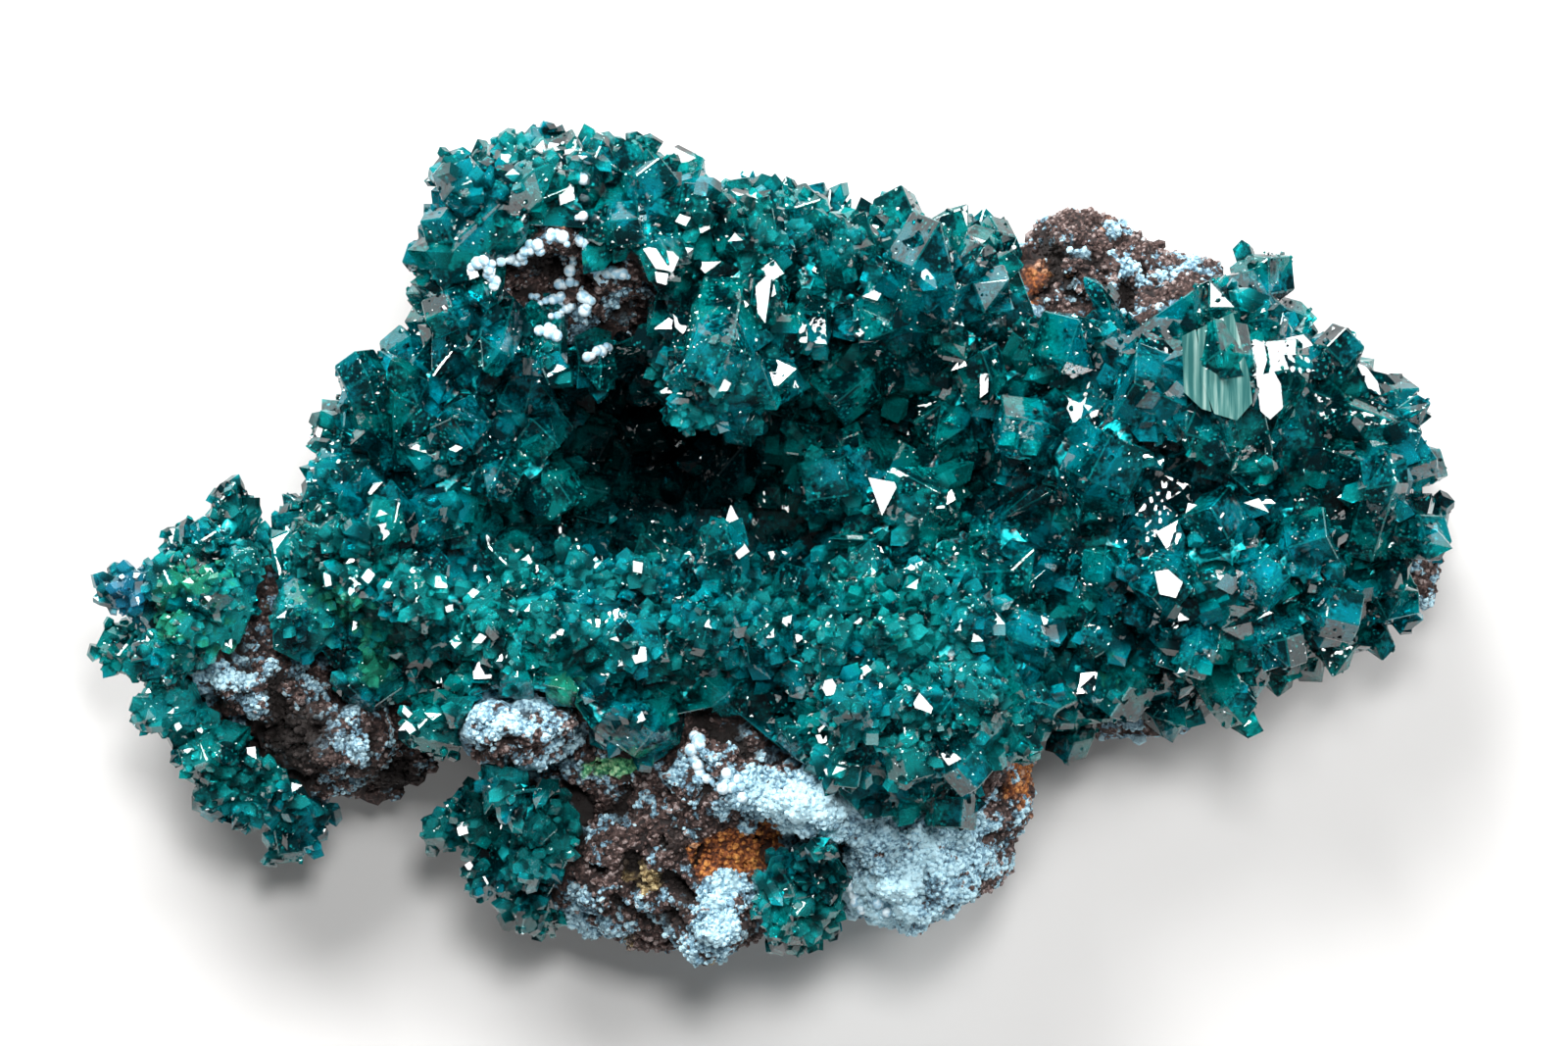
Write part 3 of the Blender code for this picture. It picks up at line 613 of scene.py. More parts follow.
def planting_tree():
    tree, given, out = new_group("Plant crystals", "GeometryNodeTree", "Geometry", PLANTING_INPUTS)
    spread = add_node(tree, "GeometryNodeDistributePointsOnFaces", distribute_method="POISSON",
                      Mesh=given["Geometry"], Distance_Min=given["Spacing"], Density_Max=given["Density"],
                      Density_Factor=stored_number(tree, given["Where"]), Seed=given["Seed"])
    along = scaled_vector(tree, spread.outputs["Normal"], given["Follow"])
    stood_up = sum_of_vectors(tree, along, given["Facing"])
    tilted = sum_of_vectors(tree, stood_up, random_direction(tree, given["Tilt"]))
    aimed = add_node(tree, "FunctionNodeAlignRotationToVector", axis="Z", Vector=tilted)
    spin = add_node(tree, "ShaderNodeCombineXYZ", Z=random_between(tree, 0.0, math.pi / 3, SPIN_SEED))
    turned = add_node(tree, "FunctionNodeEulerToRotation", spin.outputs[0])
    facing = add_node(tree, "FunctionNodeRotateRotation", aimed.outputs[0], turned.outputs[0],
                      rotation_space="LOCAL")
    thickness = random_between(tree, given["Thin"], given["Thick"], THICKNESS_SEED)
    width = combine(tree, "MULTIPLY", thickness, stored_number(tree, "size"))
    depth = combine(tree, "MULTIPLY", width, random_between(tree, FLATNESS, 1.0, DEPTH_SEED))
    stretch = random_between(tree, given["Short"], given["Long"], LENGTH_SEED)
    size = add_node(tree, "ShaderNodeCombineXYZ", width, depth, combine(tree, "MULTIPLY", stretch, width))
    forms = add_node(tree, "GeometryNodeCollectionInfo", Collection=given["Forms"],
                     Separate_Children=True, Reset_Children=True)
    stood = add_node(tree, "GeometryNodeInstanceOnPoints", Points=spread.outputs["Points"],
                     Instance=forms.outputs[0], Pick_Instance=True, Rotation=facing.outputs[0],
                     Scale=size.outputs[0])
    chance = random_between(tree, 0.0, 1.0, TINT_SEED)
    tint = add_node(tree, "GeometryNodeStoreNamedAttribute", data_type="FLOAT", domain="INSTANCE",
                    Geometry=stood.outputs[0], Name="tint", Value=chance)
    return realized(tree, tint.outputs[0], given["Material"], out)


def run_tree(mesh, tree, name, **values):
    """Runs a Geometry Nodes tree on a mesh and keeps the plain result. Lengths are in millimetres."""
    obj = linked(name, mesh.copy())
    modifier = obj.modifiers.new(tree.name, "NODES")
    modifier.node_group = tree
    for item in tree.interface.items_tree:
        if item.in_out == "INPUT" and item.name in values:
            value = values[item.name]
            modifier[item.identifier] = value * MM if item.name in LENGTHS else value
    return settled(obj)


planting = planting_tree()
print("planting tree:", len(planting.nodes), "nodes")

# %% [markdown]
# Two effects are used by more than one material, so each is a node group with named inputs.
# "Two tones" mixes two colours by a cloudy noise. The other group paints shade: it mixes a shadow colour
# into a colour in the cave and where crystals meet, from numbers stored on the meshes.

# %% Shared shader groups
ROOT_LIMITS = (0.25, 0.75)
ROOT_SHADE = 0.85


def attribute(tree, name):
    return add_node(tree, "ShaderNodeAttribute", attribute_name=name).outputs["Fac"]


def step_mask(tree, value, low, high):
    """0 where the value is below the low limit, 1 above the high one, and smooth between."""
    return add_node(tree, "ShaderNodeMapRange", interpolation_type="SMOOTHSTEP", Value=value,
                    From_Min=low, From_Max=high).outputs[0]


def mixed(tree, factor, first, second):
    """A mix of two colours, which are the seventh and eighth inputs of the node."""
    unused = [None] * 5
    return add_node(tree, "ShaderNodeMix", factor, *unused, first, second, data_type="RGBA").outputs[2]


def use_group(tree, group, **sources):
    return add_node(tree, "ShaderNodeGroup", node_tree=group, **sources).outputs[0]


def two_tones_group():
    tree, given, out = new_group("Two tones", "ShaderNodeTree", "Color", {
        "Vector": "Vector", "Scale": "Float", "Low": "Float", "High": "Float", "First": "Color",
        "Second": "Color",
    })
    cloud = add_node(tree, "ShaderNodeTexNoise", Vector=given["Vector"], Scale=given["Scale"], Detail=1.0)
    factor = step_mask(tree, cloud.outputs[0], given["Low"], given["High"])
    feed(tree, out, mixed(tree, factor, given["First"], given["Second"]))
    return tree


def painted_shade_group():
    tree, given, out = new_group("Painted shade", "ShaderNodeTree", "Color", {
        "Color": "Color", "Shadow": "Color",
    })
    # Painted shade: the cave's number and the feet of the crystals pull the colour toward the shadow
    # colour.
    root = step_mask(tree, attribute(tree, "root"), *ROOT_LIMITS)
    root_shade = combine(tree, "MULTIPLY", root, ROOT_SHADE)
    factor = combine(tree, "MAXIMUM", attribute(tree, "shade"), root_shade)
    feed(tree, out, mixed(tree, factor, given["Color"], given["Shadow"]))
    return tree


two_tones = two_tones_group()
painted_shade = painted_shade_group()
print("shader groups:", two_tones.name, "and", painted_shade.name)

# %% [markdown]
# Each material starts in the same way, with its tree, its shader and the place of each point. The
# patterns on the real stone have sizes, so these helpers take the size of a pattern in millimetres
# and turn it into the scale that a texture wants.

# %% Material helpers
def new_material(name):
    """A material, its tree, its shader, and where each point of its surface lies."""
    material = bpy.data.materials.new(name)
    material.use_nodes = True
    tree = material.node_tree
    where = add_node(tree, "ShaderNodeTexCoord").outputs["Object"]
    return material, tree, tree.nodes["Principled BSDF"], where


def noise_texture(tree, where, size, detail=3.0):
    made = add_node(tree, "ShaderNodeTexNoise", Vector=where, Scale=1 / (size * MM), Detail=detail)
    return made.outputs[0]


def cell_texture(tree, where, size):
    """The distance to the nearest of many scattered points, in cells of this size."""
    return add_node(tree, "ShaderNodeTexVoronoi", Vector=where, Scale=1 / (size * MM)).outputs["Distance"]


def ramp(tree, factor, stops):
    made = add_node(tree, "ShaderNodeValToRGB", factor)
    elements = made.color_ramp.elements
    while len(elements) < len(stops):
        elements.new(0.5)
    for element, (position, colour) in zip(elements, stops):
        element.position = position
        element.color = (*colour, 1)
    return made.outputs[0]


def ripple(tree, shader, height, strength, distance):
    """Uneven faces: a bump that feeds the shader's normal."""
    bump = add_node(tree, "ShaderNodeBump", Strength=strength, Distance=distance * MM, Height=height)
    feed(tree, shader, Normal=bump.outputs[0])


print("a pattern of 2 mm has the scale", round(1 / (2 * MM)))

# %% [markdown]
# Clear green crystal. Most light goes in, is filtered and comes out, so much of the colour is in the
# volume: Volume Absorption takes out the red. The surface is mottled as well, dark and bright crystal side
# by side, a painted light and shade, because real crystals show each other's dark and bright sides. Fine
# crystals let less light through than stout ones, so they have a second material of the same make.

# %% Clear dioptase
GEM_SHADOW = (0.000, 0.006, 0.009)
GEM_DEEP = (0.000, 0.060, 0.075)
GEM_PALE = (0.040, 1.000, 1.000)
GEM_GREEN = (0.000, 0.680, 0.650)
GEM_BLUE = (0.000, 0.640, 0.800)
GEM_HIGHLIGHT = (0.020, 1.000, 1.000)
GEM_MINT = (0.060, 0.860, 0.540)
GEM_AZURE = (0.040, 0.560, 0.900)
GEM_CLEARNESS = 0.83
FINE_CLEARNESS = 0.75
GEM_ABSORPTION = (0.0, 0.83, 0.86)
GEM_DENSITY = 1400.0
GEM_IOR = 1.66
FINE_CLOUD_SHARE = 0.45
TINT_SHARE = 0.3
PALE_SHEEN_SHARE = 0.85
RIM_HIGHLIGHT_SHARE = 0.3
MINT_PATCHY = (2.0, -0.9)


def gem_colour(tree, where):
    """Mottled teal in painted light and shade, with bright flecks that are painted glints inside, paler
    fine places with a painted sheen, and rims with a painted highlight.
    """
    hue = use_group(tree, two_tones, Vector=where, Scale=1 / (7.0 * MM), Low=0.42, High=0.58,
                    First=GEM_GREEN, Second=GEM_BLUE)
    fine_cloud = combine(tree, "MULTIPLY", noise_texture(tree, where, size=0.35, detail=1.0),
                         FINE_CLOUD_SHARE)
    cloud = combine(tree, "ADD", noise_texture(tree, where, size=2.0, detail=1.0), fine_cloud)
    cloud = combine(tree, "ADD", cloud, combine(tree, "MULTIPLY", attribute(tree, "tint"), TINT_SHARE))
    # Painted light and shade: noise and each crystal's tint mix dark teal with the bright hue.
    body = mixed(tree, step_mask(tree, cloud, low=0.76, high=1.02), GEM_DEEP, hue)
    # Painted glints: small bright flecks stand for light scattered back from inside the crystals.
    inner_glints = step_mask(tree, cell_texture(tree, where, size=0.40), low=0.34, high=0.22)
    clusters = step_mask(tree, noise_texture(tree, where, size=1.8, detail=1.0), low=0.46, high=0.56)
    glinted = mixed(tree, combine(tree, "MULTIPLY", inner_glints, clusters), body, GEM_HIGHLIGHT)
    # Painted sheen: fine places are lightened in patches toward pale cyan, as their many small faces would
    # catch the light.
    sheen_patches = step_mask(tree, noise_texture(tree, where, size=2.4, detail=1.0), low=0.40, high=0.56)
    pale = combine(tree, "MULTIPLY", combine(tree, "MULTIPLY", attribute(tree, "pale"), sheen_patches), PALE_SHEEN_SHARE)
    lighter = mixed(tree, pale, glinted, GEM_PALE)
    # Painted highlight: the bevelled rims are lightened toward the highlight colour.
    return mixed(tree, combine(tree, "MULTIPLY", attribute(tree, "rim"), RIM_HIGHLIGHT_SHARE), lighter, GEM_HIGHLIGHT)


def stained(tree, where, colour):
    """Mint green powder and an azure tip, where the meshes say so."""
    patchy = combine(tree, "MULTIPLY_ADD", noise_texture(tree, where, size=0.9, detail=1.0), *MINT_PATCHY)
    minty = step_mask(tree, combine(tree, "ADD", attribute(tree, "mint"), patchy), low=0.55, high=1.0)
    powdered = mixed(tree, minty, colour, GEM_MINT)
    return mixed(tree, step_mask(tree, attribute(tree, "azure"), low=0.2, high=1.0), powdered, GEM_AZURE)


def gem_material(name, clearness):
    material, tree, shader, where = new_material(name)
    colour = stained(tree, where, gem_colour(tree, where))
    # Painted shade in the cave and at the crystals' feet.
    shaded = use_group(tree, painted_shade, Color=colour, Shadow=GEM_SHADOW)
    feed(tree, shader, Base_Color=shaded, Roughness=0.03, IOR=GEM_IOR, Transmission_Weight=clearness)
    ripple(tree, shader, noise_texture(tree, where, size=0.5, detail=0.0), strength=0.3, distance=0.05)
    absorb = add_node(tree, "ShaderNodeVolumeAbsorption", Color=GEM_ABSORPTION, Density=GEM_DENSITY)
    feed(tree, tree.nodes["Material Output"], Volume=absorb.outputs[0])
    return material


gem = gem_material("clear dioptase", GEM_CLEARNESS)
fine_gem = gem_material("fine dioptase", FINE_CLEARNESS)
print("made", gem.name, "and", fine_gem.name)

# %% [markdown]
# The mass at the foot of the crystals is the same mineral grown too densely to see through, so its colour
# is on its surface. One large crystal is clouded by fine lines along its length, and its light lines are
# partly painted sheen: its noise is drawn out along one direction by a Mapping node, which is simpler than
# cutting the lines in.

# %% Cloudy crystal, and veiled crystal with a painted sheen
MASS_DARK = (0.000, 0.020, 0.024)
MASS_MIDDLE = (0.000, 0.240, 0.270)
MASS_BRIGHT = (0.020, 0.950, 1.000)
VEIL_DARK = (0.030, 0.140, 0.135)
VEIL_MIDDLE = (0.100, 0.260, 0.240)
VEIL_SHEEN = (0.360, 0.520, 0.480)
VEIL_TURN = math.radians(-10)
VEIL_STRETCH = 0.06


def mass_material():
    material, tree, shader, where = new_material("grown mass")
    grain = noise_texture(tree, where, size=0.9, detail=2.0)
    colour = ramp(tree, grain, [(0.42, MASS_DARK), (0.50, MASS_MIDDLE), (0.60, MASS_BRIGHT)])
    # Painted shade in the cave darkens the mass too.
    shaded = use_group(tree, painted_shade, Color=colour, Shadow=GEM_SHADOW)
    feed(tree, shader, Base_Color=shaded, Roughness=0.25, IOR=1.5)
    ripple(tree, shader, grain, strength=0.8, distance=0.2)
    return material


def veiled_sheen_material():
    material, tree, shader, where = new_material("veiled sheen dioptase")
    along = add_node(tree, "ShaderNodeMapping", Vector=where, Rotation=(0, 0, VEIL_TURN),
                     Scale=(1, VEIL_STRETCH, VEIL_STRETCH))
    lines = noise_texture(tree, along.outputs[0], size=0.45, detail=4.0)
    # Painted sheen: the light lines stand for a reflection along the crystal's striations.
    colour = ramp(tree, lines, [(0.42, VEIL_DARK), (0.52, VEIL_MIDDLE), (0.66, VEIL_SHEEN)])
    feed(tree, shader, Base_Color=colour, Roughness=0.08, IOR=GEM_IOR, Transmission_Weight=0.35)
    ripple(tree, shader, lines, strength=0.5, distance=0.05)
    return material


mass = mass_material()
veiled_sheen = veiled_sheen_material()
print("made", mass.name, "and", veiled_sheen.name)

# %% [markdown]
# The crystals of a crust aren't alike. In some places only fine ones grow, in the depth of the cave and in
# some other low places their colour is darkened by painted shade, and everywhere they are a little lighter
# or darker in lumps. As on the rock, lists of patches say where, and three functions turn a place into a
# number.

# %% Where the crusts are fine, and where their shade is painted
FINE_PLACES = [
    (560, 620, 270, 62, 0.8), (930, 700, 110, 100, 0.8), (230, 650, 130, 160, 1.2),
    (480, 860, 110, 110, 1.3), (820, 905, 60, 60, 1.2), (720, 410, 50, 40, 0.9), (560, 170, 90, 26, 0.9),
    (770, 230, 46, 40, 0.6), (850, 250, 50, 34, 0.6),
]
FINE_NOISE = (0.3, 6.0)
# Patches of painted shade, mostly in the cave. It fades out where the crystals stand high.
CAVE_SHADE_PLACES = [
    (655, 455, 75, 95, 1.6), (760, 470, 90, 60, 0.8), (985, 515, 32, 52, 1.0), (600, 575, 60, 22, 0.5),
    (870, 580, 60, 22, 0.4), (900, 370, 50, 30, 0.3), (700, 330, 16, 40, 0.7), (860, 430, 50, 24, 0.4),
    (480, 870, 90, 90, 0.5),
]
DARK_BELOW = (24.0, 17.0)
DARKEST = 0.95
TINT_MIDDLE = 0.5
TINT_NOISE = (0.8, 2.6)


def fineness(co):
    """1 where only fine crystals grow and 0 where they are stout."""
    amount, size = FINE_NOISE
    return min(1.0, max(0.0, patch_strength(co, FINE_PLACES) + amount * grainy(co, size)))


def shade(co):
    """How much painted shade darkens the crystals, most of all in the depth of the cave."""
    low = 1 - soft_step(co[2] / MM, DARK_BELOW[1], DARK_BELOW[0])
    return min(DARKEST, patch_strength(co, CAVE_SHADE_PLACES) * low)


def cloudiness(co):
    """The light and dark of the stout crystals, in lumps."""
    amount, size = TINT_NOISE
    return TINT_MIDDLE + amount * grainy(co, size, 1)


print("shade in the cave:", round(shade((*place(655, 455), 15 * MM)), 2))

# %% [markdown]
# Crystals grow on the open side of a crust, not where it lies on the rock, and the small ones gather in the
# nooks between the large. Both can be measured on the mesh: how far a point stands clear of the rock, and
# whether its neighbours rise above it. The second number also darkens the nooks with painted shade.
# Measuring it here is surer than painting it by hand.

# %% Open sides and nooks
OPEN_DISTANCE = (0.3, 1.3)
OUTWARD = -0.3
NOOK_RISE = (-0.15, 0.35)


def openness(body):
    """0 for the side that lies on the rock, rising to 1 for what stands clear of it."""
    values = []
    points = read_vectors(body.data.vertices, "co")
    for co, facing in zip(points, read_vectors(body.data.vertex_normals, "vector")):
        hit, normal, _, _ = cad_rock_tree.find_nearest(Vector(co))
        out = (Vector(co) - hit).dot(normal) / MM
        values.append(soft_step(out, *OPEN_DISTANCE) if Vector(facing).dot(normal) > OUTWARD else 0.0)
    return np.array(values)


def hollowness(mesh):
    """1 in the nooks where crystals meet, 0 on flats and tips."""
    points = read_vectors(mesh.vertices, "co")
    normals = read_vectors(mesh.vertex_normals, "vector")
    ends = np.array([edge.vertices[:] for edge in mesh.edges])
    runs = points[ends[:, 1]] - points[ends[:, 0]]
    runs /= np.maximum(np.linalg.norm(runs, axis=1), 1e-9)[:, None]
    rise = np.zeros(len(points))
    count = np.zeros(len(points))
    for side, sign in ((0, 1), (1, -1)):
        np.add.at(rise, ends[:, side], sign * np.sum(runs * normals[ends[:, side]], axis=1))
        np.add.at(count, ends[:, side], 1)
    return np.clip((rise / np.maximum(count, 1) - NOOK_RISE[0]) / (NOOK_RISE[1] - NOOK_RISE[0]), 0, 1)


print("a point is fully open", OPEN_DISTANCE[1], "mm clear of the rock")

# %% [markdown]
# No edge of a real crystal is perfectly sharp: a narrow facet on it catches the light. A Bevel modifier
# would cut every sharp edge, and the short ones at the crystals' feet would tangle, so the bevel is
# made on the mesh, on the long sharp edges alone.

# %% Broken edges
FLAT_ANGLE = math.radians(4)
SHARP_ANGLE = math.radians(25)
LONG_EDGE = 0.6
BEVEL = 0.09


def put_in_order(items, count):
    """Sorts faces or edges by the numbers of their points."""
    def number(item):
        total = 0
        for vert in item.verts:
            total = total * count + vert.index
        return total

    items.sort(key=number)


def bevelled(obj):
    """Breaks the long sharp edges with a narrow facet, and marks the facets as the rim.

    The bevel leaves its faces in another order on each run. Points are spread face by face, so the
    faces are put in order, and the planting is then the same each time.
    """
    bm = bmesh.new()
    bm.from_mesh(obj.data)
    bmesh.ops.dissolve_limit(bm, angle_limit=FLAT_ANGLE, verts=bm.verts, edges=bm.edges)
    rim = bm.faces.layers.float.new("rim")
    long_edges = [edge for edge in bm.edges if edge.is_manifold and edge.calc_length() > LONG_EDGE * MM]
    sharp = [edge for edge in long_edges if edge.calc_face_angle_signed(0) > SHARP_ANGLE]
    made = bmesh.ops.bevel(bm, geom=sharp, offset=BEVEL * MM, segments=1, affect="EDGES",
                           clamp_overlap=False)
    for face in made["faces"]:
        face[rim] = 1.0
    bmesh.ops.triangulate(bm, faces=bm.faces)
    bm.verts.index_update()
    put_in_order(bm.faces, len(bm.verts))
    put_in_order(bm.edges, len(bm.verts))
    bm.to_mesh(obj.data)
    bm.free()


print("edges over", LONG_EDGE, "mm long are cut back by", BEVEL, "mm")

# %% [markdown]
# Each crust has two layers. Outside is its CAD solid, with its long edges broken, in clear crystal.
# Inside is a softened copy of it, the cloudy mass, which shows through. The numbers stored at the
# points of both are read by the materials and by the planting.

# %% The two layers of a crust
FINE_SHRINK = 0.4
MASS_VOXEL = 0.85
MASS_DEPTH = 0.8
MASS_SMOOTHING = 16
MASS_MARGIN = 0.12
NOOK_DEPTH = (1.1, 1.7)


def mark_all(mesh, points, **marks):
    """Stores one number at every point for each of these functions."""
    for name, number_at in marks.items():
        mark(mesh, name, [number_at(co) for co in points])


def make_skin(node):
    """The clear crystals of a crust: the CAD solid with its edges broken."""
    body = merged_copy(node, node + "_crystals")
    bevelled(body)
    # The nooks between crystals get painted shade from this number.
    mark(body.data, "root", hollowness(body.data))
    free = openness(body)
    points = read_vectors(body.data.vertices, "co")
    fine = np.array([fineness(co) for co in points])
    mark(body.data, "open", free)
    mark(body.data, "open_fine", free * np.clip(fine * 2, 0, 1))
    mark(body.data, "size", 1 - FINE_SHRINK * fine)
    # The fine places get a painted sheen from this number.
    mark(body.data, "pale", fine)
    mark_all(body.data, points, tint=cloudiness, shade=shade,
             mint=lambda co: patch_strength(co, MINT_PATCHES),
             azure=lambda co: patch_strength(co, AZURE_PATCHES))
    body.data.materials.append(gem)
    return body


def make_mass(node):
    """The cloudy inside of a crust, which shows through its crystals."""
    body = remeshed(merged_copy(node, node + "_mass"), MASS_VOXEL, smoothing=MASS_SMOOTHING)
    free = openness(body)
    points = read_vectors(body.data.vertices, "co")
    inwards = -(MASS_MARGIN + MASS_DEPTH * free) * MM
    points += read_vectors(body.data.vertex_normals, "vector") * inwards[:, None]
    body.data.vertices.foreach_set("co", points.ravel())
    skin_tree = tree_of(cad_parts[node].data)
    nook = [1 - soft_step(skin_tree.find_nearest(Vector(co))[3] / MM, *NOOK_DEPTH) for co in points]
    mark(body.data, "nook", free * np.array(nook))
    mark_all(body.data, points, shade=shade, size=lambda co: 1 - FINE_SHRINK * fineness(co))
    body.data.shade_smooth()
    body.data.materials.append(mass)
    return body


print("the mass lies", MASS_MARGIN, "to", MASS_MARGIN + MASS_DEPTH, "mm inside the crystals")

# %% [markdown]
# Now all four crusts are made and planted: crystals in the nooks, fine ones close together in the
# fine-grained places, a frost of tiny ones, and three sizes of chips. The chips all face half way
# between the lamp and the camera, where a mirror shows the lamp, and make the glints.

# %% The crusts
KEY_PLACE = Vector((-0.18, 0.42, 0.42))
GLINT_FACING = (KEY_PLACE.normalized() + Vector((0, 0, 1))).normalized()
PRISMS = dict(Forms=forms["small"], Follow=1.0)
CHIPS = dict(Forms=forms["chip"], Follow=0.0, Facing=GLINT_FACING, Material=gem)
SIZES = {
    "nook": dict(PRISMS, Where="nook", Spacing=1.5, Density=1.5e6, Thin=0.7, Thick=1.3, Short=1.0,
                 Long=1.5, Tilt=0.6, Material=gem),
    "fine": dict(PRISMS, Where="open_fine", Spacing=0.85, Density=4e6, Thin=0.35, Thick=0.95, Short=0.8,
                 Long=1.3, Tilt=0.8, Material=fine_gem),
    "frost": dict(PRISMS, Where="open", Spacing=0.9, Density=5e5, Thin=0.08, Thick=0.25, Short=0.8,
                  Long=1.3, Tilt=1.0, Material=gem),
    "glints": dict(CHIPS, Where="open", Spacing=1.3, Density=3e5, Thin=0.10, Thick=0.28, Short=1.0,
                   Long=1.5, Tilt=0.22),
    "sparks": dict(CHIPS, Where="open", Spacing=0.5, Density=1.6e6, Thin=0.04, Thick=0.13, Short=1.2,
                   Long=2.0, Tilt=0.16),
    "dust": dict(CHIPS, Where="open_fine", Spacing=0.4, Density=2.5e6, Thin=0.07, Thick=0.18, Short=1.2,
                 Long=2.0, Tilt=0.14),
}
skins = []
for number, node in enumerate(CRUSTS):
    skin = make_skin(node)
    skins.append(skin.data)
    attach(skin, "root")
    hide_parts(node)
    inside = make_mass(node)
    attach(inside, "root")
    print(skin.name, triangles(skin), "triangles,", inside.name, triangles(inside))
    for size, values in SIZES.items():
        bed = inside if size == "nook" else skin
        seed = number * 10 + len(size)
        crystals = run_tree(bed.data, planting, f"{node}_{size}", Seed=seed, **values)
        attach(crystals, "root")
        print(crystals.name, triangles(crystals), "triangles")

# %% [markdown]
# The rock's material follows the numbers stored on its mesh. Pale blue lies over brown, rust and powder
# show in their patches, and the deeper brown is speckled. The tops of the knobs are lighter and the valleys
# between them darker, partly the stone's own colour and partly painted light and shade, and the pits and
# some hollows are darkened nearly to black by painted shade.

# %% The rock's material
PIT_SHADE = (0.010, 0.006, 0.005)
BROWN_STOPS = [(0.35, (0.008, 0.004, 0.004)), (0.62, (0.040, 0.021, 0.018)), (0.85, (0.115, 0.070, 0.062)),
               (1.0, (0.30, 0.24, 0.23))]
BLUE_STOPS = [(0.25, (0.022, 0.018, 0.020)), (0.42, (0.060, 0.11, 0.15)), (0.65, (0.16, 0.31, 0.41)),
              (0.95, (0.50, 0.74, 0.83))]
RUST_STOPS = [(0.35, (0.060, 0.014, 0.004)), (0.65, (0.26, 0.070, 0.014)), (1.0, (0.62, 0.26, 0.06))]
GOLD_STOPS = [(0.35, (0.050, 0.030, 0.010)), (0.65, (0.22, 0.15, 0.06)), (1.0, (0.66, 0.55, 0.30))]
CREST_LIGHT_SHARE = 0.45
GRAIN_TINT_SHARE = 0.4
SPECKLE = (1.6, -0.45)
BLUE_PATCHY = (2.2, -0.6)
CHALK_SHARE = 0.36
POWDER_STOPS = [(0.35, (0.010, 0.11, 0.055)), (0.65, (0.10, 0.46, 0.20)), (1.0, (0.55, 0.86, 0.50))]


def rock_material():
    material, tree, shader, where = new_material("gossan")
    speckle = noise_texture(tree, where, size=0.30, detail=2.0)
    # Knob tops lighter and valleys darker: partly the stone's own colour, partly painted light and shade.
    knob_light = combine(tree, "MULTIPLY", attribute(tree, "crest"), CREST_LIGHT_SHARE)
    grain_tint = combine(tree, "MULTIPLY", attribute(tree, "tint"), GRAIN_TINT_SHARE)
    lifted = combine(tree, "ADD", knob_light, grain_tint)
    tone = combine(tree, "ADD", lifted, combine(tree, "MULTIPLY_ADD", speckle, *SPECKLE))
    patchy = combine(tree, "MULTIPLY_ADD", noise_texture(tree, where, size=0.7, detail=2.0), *BLUE_PATCHY)
    patchy = combine(tree, "ADD", patchy, attribute(tree, "blue"))
    bluest = step_mask(tree, attribute(tree, "blue"), low=0.8, high=1.4)
    chalky = combine(tree, "MULTIPLY", bluest, CHALK_SHARE)
    blue_tone = combine(tree, "ADD", tone, chalky)
    layers = [
        (attribute(tree, "rust"), 0.35, 0.6, ramp(tree, tone, RUST_STOPS)),
        (attribute(tree, "gold"), 0.4, 0.6, ramp(tree, tone, GOLD_STOPS)),
        (patchy, 0.84, 0.98, ramp(tree, blue_tone, BLUE_STOPS)),
        (attribute(tree, "powder"), 0.45, 0.65, ramp(tree, tone, POWDER_STOPS)),
        # Painted shade: the pits and shaded hollows go nearly black.
        (attribute(tree, "pit"), 0.2, 0.9, PIT_SHADE),
    ]
    colour = ramp(tree, tone, BROWN_STOPS)
    for amount, low, high, layer in layers:
        colour = mixed(tree, step_mask(tree, amount, low, high), colour, layer)
    feed(tree, shader, Base_Color=colour, Roughness=0.8)
    ripple(tree, shader, speckle, strength=0.8, distance=0.15)
    return material


gossan = rock_material()
rock.data.materials.append(gossan)
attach(rock, "root")
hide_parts("matrix")
print("rock material:", len(gossan.node_tree.nodes), "nodes")

# %% [markdown]
# Close up, the rock is made of grains. Geometry Nodes scatter small lumps over what is bare of
# crystals, close together on the front and larger and fewer on the back, and each takes the colour of
# the place where it lies, a little lighter or darker than its neighbours.

# %% The grains
GRAIN_SEED = 5
GRAINS = {
    "front": dict(Spacing=0.36, Density=2e7, Thin=0.12, Thick=0.30, Short=0.7, Long=1.1),
    "rear": dict(Spacing=1.2, Density=1e6, Thin=0.3, Thick=0.75, Short=0.6, Long=1.0),
}
mark(rock.data, "size", np.ones(len(rock.data.vertices)))
for side, values in GRAINS.items():
    grains = run_tree(rock.data, planting, f"matrix_grains_{side}", Forms=forms["grain"], Where=side,
                      Tilt=1.0, Follow=1.0, Seed=GRAIN_SEED, Material=gossan, **values)
    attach(grains, "root")
    print(grains.name, triangles(grains), "triangles")

# %% [markdown]
# In the hollow of the head, pale beads are strung along the edges like drops on a thread, and a few
# knobs sit on the pale ridge lower down. A second tree does what a thread would: it turns a line into
# a curve, sets balls along it a bead's width apart, and makes each a little larger or smaller.

# %% The bead tree
BEAD_SEGMENTS = 9
BEAD_RINGS = 6
BEAD_INPUTS = {
    "Geometry": "Geometry", "Step": "Float", "Jitter": "Float", "Small": "Float", "Large": "Float",
    "Material": "Material",
}


